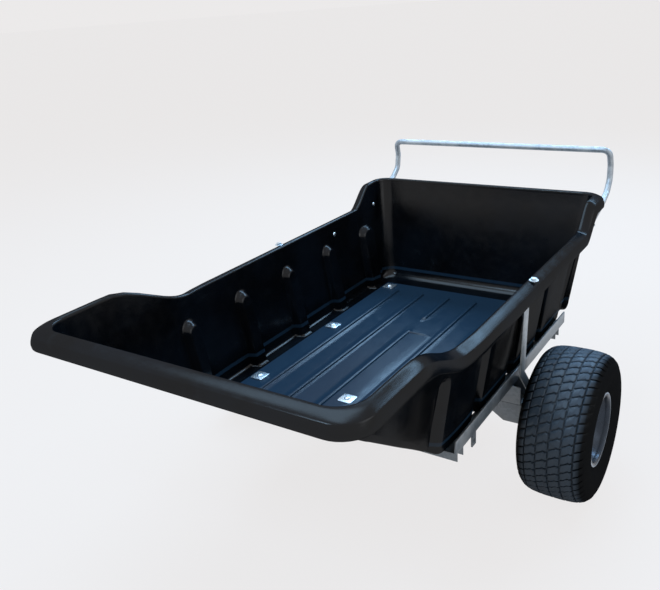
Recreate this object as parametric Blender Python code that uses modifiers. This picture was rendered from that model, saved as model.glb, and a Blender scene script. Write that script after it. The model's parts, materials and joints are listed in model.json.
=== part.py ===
"""All-terrain vehicle trailer: a moulded tipping tub on a galvanised frame, with two wheels and a drawbar.

Metres, +Z up, +Y forward to the hitch. The origin is on the ground below the middle of the whole trailer.
Places below are written in the trailer's own frame: y from the axle, z from the ground. One empty,
trailer_origin, moves that frame so that the model is centred along Y.
"""

import math

import bmesh
import bpy
from mathutils import Matrix, Vector

# Clearances
GAP = 0.0003
BOLT_CLEARANCE = 0.0004
WELD = 0.00015

# Wheels and axle
TYRE_RADIUS = 0.226
TYRE_WIDTH = 0.205
TYRE_GAP = 0.00875
RIM_FLANGE_RADIUS = 0.1125
RIM_WIDTH = 0.178
BEAD_RADIUS = 0.1015
RIM_SHEET = 0.0035
RIM_WELL_DEPTH = 0.0135
RIM_SEAT_HALF = 0.070
RIM_WELL_HALF = 0.052
RIM_ROUNDING = 0.001
TYRE_SIDE = ((0.108, 0.0175), (0.090, 0.006), (0.056, 0.0), (0.023, 0.005), (0.0045, 0.0245))
TYRE_INSIDE = ((0.101, 0.0276), (0.051, 0.0115), (0.015, 0.043))
TREAD_HALF = 0.040
TYRE_TOE = 0.0009
TYRE_HEEL = 0.013
SPINDLE_RADIUS = 0.0125
HUB_LENGTH = 0.090
HUB_FLANGE_RADIUS = 0.065
HUB_FLANGE_THICK = 0.009
HUB_BARREL_RADIUS = 0.032
HUB_FACE = 0.0117
DISC_THICK = 0.004
CAP_DEPTH = 0.0255
CAP_WALL = 0.0035
BEARING_RADIUS = 0.026
BEARING_WIDTH = 0.015
BOLT_CIRCLE_RADIUS = 0.050
WHEEL_BOLT_RADIUS = 0.006
WHEEL_BOLTS = 4
SPINDLE_SHOULDER_RADIUS = 0.017
SPINDLE_TAIL = 0.0145
SPINDLE_NUT = (0.020, 0.010)
AXLE_Z = TYRE_RADIUS

# Tub, heights measured from the top of the floor panel
FLOOR_Z = 0.375
TUB_WALL = 0.005
PANEL_HALF = 0.296
PANEL_STEP = 0.009
PANEL_REAR = -0.440
PANEL_FRONT = 0.478
WALL_DRAFT = 0.153
SIDE_CROWN = 0.286
LIP_CROWN = 0.375
FRONT_CROWN = 0.369
RIM_EDGE_DROP = 0.014
RIM_HALF = 0.477
RIM_WIDTH_SIDE = 0.042
VALLEY_SPAN = (-0.40, -0.55)
VALLEY_DIP = 0.010
CREST_SPAN = (-0.58, -0.75)
CREST_FLARE = 0.021
LIP_RISE = (-0.48, -0.76)
FRONT_RISE = (0.485, 0.605)
RIM_SHAPE = ((0.12, 0.004), (0.35, 0.0), (0.82, 0.007), (1.0, 0.018), (0.985, 0.044))
CHUTE_START = -0.472
CHUTE_SLOPE = 0.715
LIP_REAR = -1.019
LIP_INNER = -0.971
LIP_FOOT = -0.955
REAR_CORNERS = ((0.378, 0.060), (0.378, 0.068), (0.413, 0.075))
FRONT_CORNERS = (0.335, 0.045, 0.056)
FRONT_OUTER = 0.736
FRONT_INNER = 0.705
FRONT_FOOT = 0.630
SIDE_FOOT_END = 0.575
SIDE_LEAN_START = 0.450
PILLAR_PITCH = 0.255
PILLAR_FIRST = -0.520
PILLAR_COUNT = 5
PILLAR_HALF = 0.036
PILLAR_FACE_HALF = 0.022
PILLAR_DEPTH = 0.027
PILLAR_TOP_DEPTH = 0.020
PILLAR_TOP = 0.200
PILLAR_TOP_SLOPE = 0.014
CHUTE_ROW = 0.042
STEP_RUN = 0.012
RIB_INSET = 0.081
RIB_PITCH = (PANEL_HALF - RIB_INSET) / 2
RIB_HALF = 0.009
RIB_HEIGHT = 0.004
RIB_FRONT = 0.412
RIB_BREAK = (0.088, 0.210)

# Frame
RAIL_X = 0.414
RAIL_LEG = 0.040
RAIL_THICK = 0.005
RAIL_REAR = -0.445
RAIL_FRONT = 0.486
RAIL_BELOW_FLOOR = 0.010
RAIL_TOP = FLOOR_Z - RAIL_BELOW_FLOOR
PILLAR_FOOT_DROP = 0.0021
GUTTER_DEPTH = RAIL_BELOW_FLOOR + RAIL_LEG - RAIL_THICK - TUB_WALL - PILLAR_FOOT_DROP - GAP
CROSS_SIZE = 0.040
CROSS_SHEET = 0.003
CROSS_REACH = 0.405
BEARER_SPREAD = 0.006
TAB_Y = -0.335
TAB_WIDTH = 0.025
TAB_DROP = 0.040
TAB_THICK = 0.005
TAB_INSET = 0.001
TAB_HOLE_RADIUS = 0.006
CLAMP_INSET = 0.030
CLAMP_X = PANEL_HALF - CLAMP_INSET
BEARER_PAST = 0.018
BEARER_HALF = CLAMP_X + BEARER_PAST
CLAMP_ROWS = (-0.397, 0.021, 0.436)
CLAMP_CENTRE_X = 0.055
BEARER_Y = 0.012
CLAMP_SIZE = 0.044
CLAMP_THICK = 0.004
FRAME_BOLT_RADIUS = 0.004
BEAM_LOW_STEP = 0.010
BEAM_HALF_WIDTH = 0.035
BEAM_DEPTH = 0.066
BEAM_SHEET = 0.004
BEAM_END = 0.455
BEAM_DROP = 0.0597
BEAM_CRANK = (0.290, 0.377)
END_PLATE_THICK = 0.008
END_PLATE_RISE = 0.036
HANGER_X = (0.379, 0.440)
HANGER_THICK = 0.004
STRAP_Y = -0.010
STRAP_WIDTH = 0.040
STRAP_THICK = 0.004
STRAP_BOLT_X = 0.457
STRAP_TAB_X = (0.4465, 0.4645)
STRAP_TAB_Z = 0.2733
RIM_WASHER_RADIUS = 0.014
RIM_WASHER_THICK = 0.002
STRAP_MIDDLE = ((0.441, 0.200), (0.434, -0.015))
STRAP_BENDS_AT = -0.070
STRAP_END = -0.105

# Handle
HANDLE_RADIUS = 0.011
HANDLE_WALL = 0.002
HANDLE_TOP = 0.493
HANDLE_Y = 0.858
HANDLE_HALF = 0.443
HANDLE_ARM_X = 0.4505
HANDLE_ARM_END = (0.285, 0.233)
HANDLE_LEG = ((0.4505, 0.768, 0.322), (0.449, 0.827, 0.343), (0.447, 0.868, 0.379), (0.4455, 0.875, 0.434))
HANDLE_BEND = 0.040
HANDLE_BOLTS = ((0.310, 0.237), (0.605, 0.281))
HANDLE_BOLT_RADIUS = 0.004
HANDLE_SPACER_RADIUS = 0.007

# Drawbar, stand, latch and hitch
BAR_SIZE = 0.050
BAR_WALL = 0.003
BAR_FRONT = 1.330
SLEEVE_RADIUS = 0.025
SLEEVE_LENGTH = 0.060
PIVOT_RADIUS = 0.010
LUG_THICK = 0.008
SADDLE_HALF_WIDTH = 0.030
LATCH_Y = 0.478
LATCH_RADIUS = 0.007
LATCH_BLOCK_X = (-0.015, 0.022)
LATCH_LUG_X = (0.034, 0.040)
LATCH_REACH = (-0.070, 0.660)
STAND_Y = 1.150
STAND_Z = 0.163
STAND_LEAN = math.radians(8)
STAND_DEPTH = 0.030
STAND_WALL = 0.003
STAND_BOLT_RADIUS = 0.006
FOOT_SIZE = (0.090, 0.060, 0.005)
HOUSING_LENGTH = 0.100
HOUSING_RADIUS = 0.025
HITCH_SPINDLE_RADIUS = 0.011
FORK_WEB = 0.015
FORK_ARM = 0.069
FORK_THICK = 0.010
FORK_GAP = 0.036
FORK_WIDTH = 0.060
HITCH_PIN_RADIUS = 0.009
HITCH_PIN_FROM_TIP = 0.025
PAD_THICK = 0.012
EAR_THICK = 0.005
STOP_RADIUS = 0.004
STOP_BELOW = 0.038
EAR_REACH = ((-0.025, -0.051), (0.040, 0.019))
STAND_TOP = 0.018
LATCH_ABOVE = 0.034
LATCH_END = 0.003
LATCH_BEND = 0.020
LATCH_SHOULDER = 0.015
LATCH_LUG_BELOW = 0.021
LATCH_PLAY = 0.002

# Bolt heads and nuts, each as its radius and height, and the thread that shows past a nut
CLAMP_HEAD = (0.010, 0.005)
CLAMP_NUT = (0.0075, 0.006)
RIM_HEAD = (0.0085, 0.006)
RIM_NUT = (0.0072, 0.005)
STRAP_HEAD = (0.0075, 0.004)
STRAP_NUT = (0.0075, 0.005)
HANDLE_HEAD = (0.009, 0.004)
HANDLE_NUT = (0.007, 0.004)
WHEEL_HEAD = (0.010, 0.008)
PIVOT_HEAD = (0.015, 0.008)
PIVOT_NUT = (0.015, 0.010)
STAND_HEAD = (0.010, 0.007)
STAND_NUT = (0.010, 0.006)
SWIVEL_HEAD = (0.0135, 0.009)
SWIVEL_NUT = (0.019, 0.014)
PIN_HEAD = (0.016, 0.008)
PIN_TAIL = 0.020
THREAD_END = 0.003
HOLE_PAST = 0.010

# Levels and places that follow from the sizes above
FRAME_Z = RAIL_TOP - RAIL_LEG
BEAM_TOP = FRAME_Z - WELD
BEAM_END_TOP = BEAM_TOP - BEAM_DROP
END_PLATE_X = BEAM_END + WELD + END_PLATE_THICK / 2
STRAP_END_X = BEAM_END + WELD + END_PLATE_THICK + GAP + STRAP_THICK / 2
STRAP_BOLT_Z = BEAM_END_TOP + 0.020
TRACK_HALF = STRAP_END_X + STRAP_THICK / 2 + GAP + STRAP_HEAD[1] + TYRE_GAP + TYRE_WIDTH / 2
BAR_TOP = AXLE_Z + BAR_SIZE / 2
LATCH_Z = BAR_TOP + LATCH_ABOVE
DISC_HOLE_RADIUS = HUB_BARREL_RADIUS + 0.001
FORK_REAR = BAR_FRONT + HOUSING_LENGTH + 3 * GAP
HITCH_FRONT = FORK_REAR + FORK_WEB + FORK_ARM
HITCH_PIN_Y = HITCH_FRONT - HITCH_PIN_FROM_TIP
ORIGIN_SHIFT = -(HITCH_FRONT + LIP_REAR) / 2

MATERIALS = {
    "black_polyethylene": ((0.012, 0.013, 0.016), 0.0, 0.32),
    "galvanised_steel": ((0.62, 0.65, 0.68), 1.0, 0.38),
    "zinc_plated": ((0.75, 0.76, 0.78), 1.0, 0.28),
    "rim_silver": ((0.52, 0.55, 0.58), 0.9, 0.35),
    "tyre_rubber": ((0.016, 0.017, 0.019), 0.0, 0.72),
    "pad_rubber": ((0.02, 0.02, 0.02), 0.0, 0.85),
    "bearing_steel": ((0.55, 0.56, 0.58), 1.0, 0.22),
}


def clear_scene():
    for old in list(bpy.data.objects):
        bpy.data.objects.remove(old, do_unlink=True)


def new_collection(name):
    collection = bpy.data.collections.new(name)
    bpy.context.scene.collection.children.link(collection)
    return collection


def material(slot):
    found = bpy.data.materials.get(slot)
    if found:
        return found
    color, metallic, roughness = MATERIALS[slot]
    made = bpy.data.materials.new(slot)
    made.use_nodes = True
    shader = made.node_tree.nodes["Principled BSDF"]
    shader.inputs["Base Color"].default_value = (*color, 1.0)
    shader.inputs["Metallic"].default_value = metallic
    shader.inputs["Roughness"].default_value = roughness
    return made


class Joint:
    """An empty on a joint's axis, or on the trailer's origin, that carries the pieces that move with it."""

    def __init__(self, name, place, carrier=None):
        self.place = Vector(place)
        self.empty = bpy.data.objects.new(name, None)
        self.empty.empty_display_size = 0.05
        if carrier:
            self.empty.parent = carrier.empty
            self.empty.location = self.place - carrier.place
        else:
            self.empty.location = (0, ORIGIN_SHIFT, 0)
        PARTS.objects.link(self.empty)


def add_object(name, mesh, slot, joint, collection=None):
    """Puts a mesh, made in the trailer's frame, on the empty of the joint that it moves with."""
    mesh.transform(Matrix.Translation(-joint.place))
    piece = bpy.data.objects.new(name, mesh)
    piece.parent = joint.empty
    (collection or PARTS).objects.link(piece)
    mesh.materials.append(material(slot))
    return piece


def finish(name, bm, slot, joint, smooth=False):
    bmesh.ops.recalc_face_normals(bm, faces=bm.faces)
    mesh = bpy.data.meshes.new(name)
    bm.to_mesh(mesh)
    bm.free()
    if smooth:
        mesh.shade_smooth()
        mesh.set_sharp_from_angle(angle=math.radians(35))
    return add_object(name, mesh, slot, joint)


def add_box(bm, low, high):
    low, high = Vector(low), Vector(high)
    size = Matrix.Diagonal((*(high - low), 1))
    bmesh.ops.create_cube(bm, size=1, matrix=Matrix.Translation((low + high) / 2) @ size)


def add_rod(bm, start, end, radius, sides=12):
    start, end = Vector(start), Vector(end)
    along = end - start
    facing = along.to_track_quat("Z", "Y").to_matrix().to_4x4()
    bmesh.ops.create_cone(bm, cap_ends=True, segments=sides, radius1=radius, radius2=radius,
                          depth=along.length, matrix=Matrix.Translation((start + end) / 2) @ facing)


def aim(start, end):
    """Places a shape made along +Z so that it starts at one point and runs towards another."""
    start = Vector(start)
    return Matrix.Translation(start) @ (Vector(end) - start).to_track_quat("Z", "Y").to_matrix().to_4x4()


def add_mesh(bm, mesh, place=None):
    """Adds a finished mesh to a bmesh, moved by a matrix, and frees it."""
    if place:
        mesh.transform(place)
    bm.from_mesh(mesh)
    bpy.data.meshes.remove(mesh)


def curve_mesh(curve):
    """The mesh of a curve as Blender draws it, with its caps welded."""
    holder = bpy.data.objects.new("curve_holder", curve)
    bpy.context.scene.collection.objects.link(holder)
    depsgraph = bpy.context.evaluated_depsgraph_get()
    mesh = bpy.data.meshes.new_from_object(holder.evaluated_get(depsgraph))
    bpy.data.objects.remove(holder, do_unlink=True)
    bpy.data.curves.remove(curve)
    bm = bmesh.new()
    bm.from_mesh(mesh)
    bmesh.ops.remove_doubles(bm, verts=bm.verts, dist=0.000001)
    bm.to_mesh(mesh)
    bm.free()
    return mesh


def add_spline(curve, points, cyclic):
    spline = curve.splines.new("POLY")
    spline.points.add(len(points) - 1)
    for target, point in zip(spline.points, points):
        target.co = (*point, 1) if len(point) == 3 else (*point, 0, 1)
    spline.use_cyclic_u = cyclic


def plate_mesh(outline, thickness, holes=()):
    """A flat plate in the XY plane, centred on it, with holes given as outlines."""
    curve = bpy.data.curves.new("plate_outline", "CURVE")
    curve.dimensions = "2D"
    curve.fill_mode = "BOTH"
    curve.extrude = thickness / 2
    for points in (outline, *holes):
        add_spline(curve, points, True)
    return curve_mesh(curve)


def pipe_mesh(points, radius, capped=True, resolution=2):
    """A round bar along a list of points."""
    curve = bpy.data.curves.new("pipe_path", "CURVE")
    curve.dimensions = "3D"
    curve.bevel_depth = radius
    curve.bevel_resolution = resolution
    curve.use_fill_caps = capped
    add_spline(curve, points, False)
    return curve_mesh(curve)


def arc(centre, radius, start, end, steps):
    """Points on an arc in the plane, angles in degrees."""
    points = []
    for step in range(steps + 1):
        angle = math.radians(start + (end - start) * step / steps)
        points.append((centre[0] + radius * math.cos(angle), centre[1] + radius * math.sin(angle)))
    return points


def circle(centre, radius, sides=12):
    return arc(centre, radius, 0, 360 * (sides - 1) / sides, sides - 1)


def rectangle(low, high):
    return [(low[0], low[1]), (high[0], low[1]), (high[0], high[1]), (low[0], high[1])]


def rounded_path(points, radius):
    """A path with each inner corner turned into an arc."""
    points = [Vector(point) for point in points]
    path = [points[0]]
    for before, corner, after in zip(points, points[1:], points[2:]):
        arrive, leave = (corner - before).normalized(), (after - corner).normalized()
        half_turn = arrive.angle(leave) / 2
        reach = radius * math.tan(half_turn)
        centre = corner + (leave - arrive).normalized() * radius / math.cos(half_turn)
        first = corner - arrive * reach - centre
        axis = arrive.cross(leave).normalized()
        steps = math.ceil(2 * half_turn / math.radians(20))
        for step in range(steps + 1):
            turn = Matrix.Rotation(2 * half_turn * step / steps, 3, axis)
            path.append(centre + turn @ first)
    path.append(points[-1])
    return path


# Planes that plates are drawn in: the plate's X and Y go to the first two axes, its thickness to the third
ALONG_X = Matrix(((0, 0, 1, 0), (1, 0, 0, 0), (0, 1, 0, 0), (0, 0, 0, 1)))
ALONG_Y = Matrix(((1, 0, 0, 0), (0, 0, -1, 0), (0, 1, 0, 0), (0, 0, 0, 1)))


DOWN = (0, 0, -1)


def at(x=0.0, y=0.0, z=0.0):
    return Matrix.Translation((x, y, z))


def turned(name, profile, slot, joint, place, steps=24):
    """A closed profile of (radius, along) points, turned about the wheel's axis, which lies along X.

    The profile runs down its outer side, so that the faces point outwards.
    """
    mesh = bpy.data.meshes.new(name)
    count = len(profile)
    mesh.from_pydata([(radius, 0, along) for radius, along in profile],
                     [(index, (index + 1) % count) for index in range(count)], [])
    mesh.materials.append(material(slot))
    piece = bpy.data.objects.new(name, mesh)
    piece.parent = joint.empty
    piece.location = Vector(place) - joint.place
    piece.rotation_euler = (0, math.radians(90), 0)
    PARTS.objects.link(piece)
    screw = piece.modifiers.new("turn", "SCREW")
    screw.axis = "Z"
    screw.steps = steps
    screw.render_steps = steps
    screw.use_merge_vertices = True
    screw.merge_threshold = 0.00005
    screw.use_smooth_shade = True
    return piece


def turned_mesh(profile, steps=12):
    """The mesh of an open (radius, height) profile, turned about Z, that starts and ends on the axis."""
    mesh = bpy.data.meshes.new("turned_profile")
    mesh.from_pydata([(radius, 0, height) for radius, height in profile],
                     [(index, index + 1) for index in range(len(profile) - 1)], [])
    holder = bpy.data.objects.new("turned_holder", mesh)
    bpy.context.scene.collection.objects.link(holder)
    screw = holder.modifiers.new("turn", "SCREW")
    screw.steps = steps
    screw.render_steps = steps
    screw.use_merge_vertices = True
    screw.merge_threshold = 0.00005
    depsgraph = bpy.context.evaluated_depsgraph_get()
    solid = bpy.data.meshes.new_from_object(holder.evaluated_get(depsgraph))
    bpy.data.objects.remove(holder, do_unlink=True)
    bpy.data.meshes.remove(mesh)
    return solid


def add_bolt(bm, seat, length, turn, radius, head, rings=(), sides=8):
    """A bolt whose head sits at seat, and whose shank runs a length from it along a direction.

    The head is its (radius, height), and each ring on the shank, such as a nut or a spacer, is its
    (radius, distance from the seat, height).
    """
    head_radius, head_height = head
    tip = Vector(seat) + Vector(turn) * length
    profile = [(0, length), (radius, length)]
    for ring_radius, distance, height in sorted(rings, key=lambda ring: -ring[1]):
        profile += [(radius, distance + height), (ring_radius, distance + height), (ring_radius, distance)]
        if distance > 0:
            profile.append((radius, distance))
    if not rings or min(distance for _, distance, _ in rings) > 0:
        profile.append((radius, 0))
    profile += [(head_radius, 0), (head_radius * 0.9, -head_height), (0, -head_height)]
    add_mesh(bm, turned_mesh(profile, sides), aim(seat, tip))


def nut_ring(nut, distance):
    """The ring for a nut at a distance from the bolt's seat, and the length of the shank through it."""
    radius, height = nut
    return (radius, distance, height), distance + height + THREAD_END


def combine(piece, bm, name, operation):
    """Cuts the shapes in a bmesh, in the trailer's frame, out of a piece, or joins them to it."""
    bmesh.ops.recalc_face_normals(bm, faces=bm.faces)
    mesh = bpy.data.meshes.new(name)
    bm.to_mesh(mesh)
    bm.free()
    tool = bpy.data.objects.new(name, mesh)
    tool.parent = BASE.empty
    tool.hide_render = True
    tool.display_type = "WIRE"
    CUTTERS.objects.link(tool)
    boolean = piece.modifiers.new(name, "BOOLEAN")
    boolean.operation = operation
    boolean.solver = "EXACT"
    boolean.object = tool


def cut(piece, bm, name):
    combine(piece, bm, name, "DIFFERENCE")


def join(piece, bm, name):
    combine(piece, bm, name, "UNION")


def ease(value, start, end):
    """0 before start, 1 past end, and a smooth S between them."""
    share = min(max((value - start) / (end - start), 0), 1)
    return share * share * (3 - 2 * share)


def sides():
    """The two sides of the trailer: the name's ending, and the sign of X."""
    return (("left", -1), ("right", 1))


# The tub's form

def rim_half(y):
    """Half the tub's width over the rim: drawn in where the rim starts to rise, flared at the lip."""
    return RIM_HALF - VALLEY_DIP * ease(y, *VALLEY_SPAN) + CREST_FLARE * ease(y, *CREST_SPAN)


def rim_crown(y):
    """The rim's top, which rises in an S to the lip and in a short ramp to the front."""
    return (SIDE_CROWN + (LIP_CROWN - SIDE_CROWN) * ease(y, *LIP_RISE)
            + (FRONT_CROWN - SIDE_CROWN) * ease(y, *FRONT_RISE))


def chute_z(y):
    """The gutter's level, and behind it the slope that the load is poured over."""
    return -GUTTER_DEPTH + CHUTE_SLOPE * max(CHUTE_START - y, 0)


def pillar_centres():
    return [PILLAR_FIRST + PILLAR_PITCH * index for index in range(PILLAR_COUNT)]


def pillar_share(y):
    """1 on a pillar's face, 0 off it, and a slope on its sides."""
    nearest = min(abs(y - centre) for centre in pillar_centres())
    return min(max((PILLAR_HALF - nearest) / (PILLAR_HALF - PILLAR_FACE_HALF), 0), 1)


def rib_columns():
    """Places across half the floor: each rib's crest and its two edges, then the panel's edge and foot."""
    columns = [0.0, RIB_HALF]
    for number in (1, 2):
        crest = RIB_PITCH * number
        columns += [crest - RIB_HALF, crest, crest + RIB_HALF]
    return columns + [PANEL_HALF, PANEL_HALF + PANEL_STEP]


def rib_height(x, y):
    crest = min(abs(x - RIB_PITCH * number) for number in range(3))
    broken = x < RIB_HALF and RIB_BREAK[0] < y < RIB_BREAK[1]
    on_rib = crest < RIB_HALF / 2 and PANEL_REAR < y <= RIB_FRONT and not broken
    return RIB_HEIGHT if on_rib else 0.0


def floor_z(x, y):
    on_panel = x <= PANEL_HALF and PANEL_REAR <= y <= PANEL_FRONT
    return rib_height(x, y) if on_panel else chute_z(y)


def side_rows():
    """Where the side wall is sampled: evenly on the chute, at the pillars' edges and the floor's steps."""
    chute_rows = [LIP_FOOT + CHUTE_ROW * (index + 2) for index in range(8)]
    pillar_rows = []
    for centre in pillar_centres():
        for offset in (-PILLAR_HALF, -PILLAR_FACE_HALF, PILLAR_FACE_HALF, PILLAR_HALF):
            pillar_rows.append(centre + offset)
    steps = [CHUTE_START, PANEL_REAR - STEP_RUN, PANEL_REAR, RIB_BREAK[0], RIB_BREAK[0] + STEP_RUN, RIB_FRONT,
             RIB_FRONT + STEP_RUN, PANEL_FRONT + STEP_RUN, SIDE_FOOT_END - 2 * STEP_RUN]
    return sorted(chute_rows + pillar_rows + steps)


def side_station(y):
    """The wall's foot, the rim's inner edge and its outer edge at one place along the side."""
    lean = max(y - SIDE_LEAN_START, 0) / (SIDE_FOOT_END - SIDE_LEAN_START)
    rim_y = y + lean * (INNER_CORNER_Y - SIDE_FOOT_END)
    outer_y = y + lean * (OUTER_CORNER_Y - SIDE_FOOT_END)
    outer_x = rim_half(rim_y)
    inner_x = outer_x - RIM_WIDTH_SIDE
    edge_z = rim_crown(rim_y) - RIM_EDGE_DROP
    foot_z = chute_z(y)
    foot_x = inner_x - (edge_z - foot_z) * WALL_DRAFT
    return (Vector((foot_x, y, foot_z)), Vector((inner_x, rim_y, edge_z)), Vector((outer_x, outer_y, edge_z)))


INNER_CORNER_Y = FRONT_INNER - FRONT_CORNERS[1]
OUTER_CORNER_Y = FRONT_OUTER - FRONT_CORNERS[2]


def corner_stations(foot, inner, outer, start, end, steps):
    """Stations round a corner; each of the three outlines is an arc with its own (centre, radius)."""
    arcs = [arc(centre, radius, start, end, steps) for centre, radius in (foot, inner, outer)]
    stations = []
    for foot_point, inner_point, outer_point in zip(*arcs):
        edge_z = rim_crown(inner_point[1]) - RIM_EDGE_DROP
        stations.append((Vector((*foot_point, chute_z(foot_point[1]))), Vector((*inner_point, edge_z)),
                         Vector((*outer_point, edge_z))))
    return stations


def wall_levels(station):
    """The section of wall and rim at one station, from the wall's foot to the skirt's lower edge."""
    foot, inner, outer = station
    height = inner.z - foot.z
    across = Vector((outer.x - inner.x, outer.y - inner.y, 0))
    outward = across.normalized()
    pillar = pillar_share(foot.y) if abs(outward.y) < 0.5 else 0
    crown = inner.z + RIM_EDGE_DROP
    top_share = min(max((PILLAR_TOP - foot.z) / height, 0.3), 0.85)
    levels = [foot - outward * PILLAR_DEPTH * pillar]
    levels.append(foot.lerp(inner, top_share) - outward * PILLAR_TOP_DEPTH * pillar)
    levels.append(foot.lerp(inner, min(top_share + PILLAR_TOP_SLOPE / height, 0.95)))
    levels.append(inner)
    for share, drop in RIM_SHAPE:
        point = inner + across * share
        point.z = crown - drop
        levels.append(point)
    return levels


def tub_half():
    """The right half of the tub's inner face, open at the middle plane."""
    columns = rib_columns()
    rear_arcs = [((x, edge + radius), radius)
                 for (x, radius), edge in zip(REAR_CORNERS, (LIP_FOOT, LIP_INNER, LIP_REAR))]
    foot_x, inner_radius, outer_radius = FRONT_CORNERS
    front_arcs = [((foot_x, SIDE_FOOT_END), FRONT_FOOT - SIDE_FOOT_END),
                  ((RIM_HALF - RIM_WIDTH_SIDE - inner_radius, INNER_CORNER_Y), inner_radius),
                  ((RIM_HALF - outer_radius, OUTER_CORNER_Y), outer_radius)]
    rear_corner = corner_stations(*rear_arcs, -90, 0, 4)
    front_corner = corner_stations(*front_arcs, 0, 90, 4)
    sides_between = [side_station(y) for y in side_rows()]
    rows = rear_corner + sides_between + front_corner

    bm = bmesh.new()
    rings = [[bm.verts.new(point) for point in wall_levels(station)] for station in rows]
    grid = []
    for station, ring in zip(rows, rings):
        y = station[0].y
        inner_points = [bm.verts.new((x, y, floor_z(x, y))) for x in columns]
        grid.append(inner_points + [ring[0]])
    for row, next_row in zip(grid, grid[1:]):
        for k in range(len(columns)):
            bm.faces.new((row[k], row[k + 1], next_row[k + 1], next_row[k]))

    def end_rings(row, station):
        """Rim sections straight across the lip or the front, one above each column of the floor."""
        foot, inner, outer = station
        made = []
        for x, vertex in zip(columns, row):
            share = x / foot.x
            moved = [Vector((part.x * share, part.y, part.z)) for part in (foot, inner, outer)]
            moved[0].x = x
            moved[2].x = moved[1].x
            made.append([vertex] + [bm.verts.new(point) for point in wall_levels(moved)[1:]])
        return made

    rear = end_rings(grid[0], rows[0])
    front = end_rings(grid[-1], rows[-1])
    loop = rear + rings + front[::-1]
    for ring, next_ring in zip(loop, loop[1:]):
        for low in range(len(ring) - 1):
            bm.faces.new((ring[low], ring[low + 1], next_ring[low + 1], next_ring[low]))
    bmesh.ops.dissolve_limit(bm, angle_limit=math.radians(0.4), verts=bm.verts, edges=bm.edges)
    bmesh.ops.translate(bm, verts=bm.verts, vec=(0, 0, FLOOR_Z))
    mesh = bpy.data.meshes.new("tub")
    bm.to_mesh(mesh)
    bm.free()
    return mesh


def wall_inner_x(y, z):
    """The inner face of the side wall at a place along it, and at a height over the floor panel."""
    station_y = y
    for _ in range(12):
        foot, inner, _ = side_station(station_y)
        point = foot.lerp(inner, (z - foot.z) / (inner.z - foot.z))
        station_y += y - point.y
    return point.x


def clamp_places():
    places = []
    for row, y in enumerate(CLAMP_ROWS):
        places += [(-CLAMP_X, y), (CLAMP_X, y)]
        if row == 0:
            places.append((CLAMP_CENTRE_X, y))
    return places


def build_tub():
    tub = add_object("tub", tub_half(), "black_polyethylene", TIP)
    mirror = tub.modifiers.new("other_half", "MIRROR")
    mirror.merge_threshold = 0.0001
    shell = tub.modifiers.new("wall", "SOLIDIFY")
    shell.thickness = TUB_WALL
    shell.offset = -1
    shell.use_even_offset = True
    holes = bmesh.new()
    radius = FRAME_BOLT_RADIUS + BOLT_CLEARANCE
    past = TUB_WALL + HOLE_PAST
    for x, y in clamp_places():
        add_rod(holes, (x, y, FLOOR_Z - past), (x, y, FLOOR_Z + past), radius, sides=8)
    for _, sign in sides():
        x, z = sign * STRAP_BOLT_X, FLOOR_Z + SIDE_CROWN
        add_rod(holes, (x, 0, z - 2 * past), (x, 0, z + past), radius, sides=8)
        for y, z in HANDLE_BOLTS:
            inside = sign * (wall_inner_x(y, z) - PILLAR_DEPTH)
            outside = sign * (wall_inner_x(y, z) + past)
            add_rod(holes, (inside, y, FLOOR_Z + z), (outside, y, FLOOR_Z + z), radius, sides=8)
    cut(tub, holes, "tub_bolt_holes")


def build_floor_clamps():
    """Square load plates on the floor, each joined with the bolt and nut that hold it to the frame."""
    half = CLAMP_SIZE / 2
    seat = FLOOR_Z + GAP + CLAMP_THICK
    nut_at = seat - (FLOOR_Z - TUB_WALL - GAP - CROSS_SHEET) + GAP
    for number, (x, y) in enumerate(clamp_places(), start=1):
        plate, bolt = bmesh.new(), bmesh.new()
        add_box(plate, (x - half, y - half, FLOOR_Z + GAP), (x + half, y + half, seat))
        clamp = finish(f"floor_clamp_{number}", plate, "zinc_plated", TIP)
        nut, length = nut_ring(CLAMP_NUT, nut_at)
        add_bolt(bolt, (x, y, seat), length, DOWN, FRAME_BOLT_RADIUS, CLAMP_HEAD, [nut])
        join(clamp, bolt, f"floor_bolt_{number}")


def build_rim_bolts():
    """A bolt down through the rim on each side, with its washer and the nut under the strap's tab."""
    seat = FLOOR_Z + SIDE_CROWN + GAP + RIM_WASHER_THICK
    nut_at = seat - (FLOOR_Z + STRAP_TAB_Z - STRAP_THICK / 2) + GAP
    for side, sign in sides():
        x = sign * STRAP_BOLT_X
        bolt = bmesh.new()
        nut, length = nut_ring(RIM_NUT, nut_at)
        washer = (RIM_WASHER_RADIUS, 0, RIM_WASHER_THICK)
        add_bolt(bolt, (x, 0, seat), length, DOWN, FRAME_BOLT_RADIUS, RIM_HEAD, [nut, washer], 12)
        finish(f"rim_bolt_{side}", bolt, "zinc_plated", TIP)


# The frame under the tub

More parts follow.
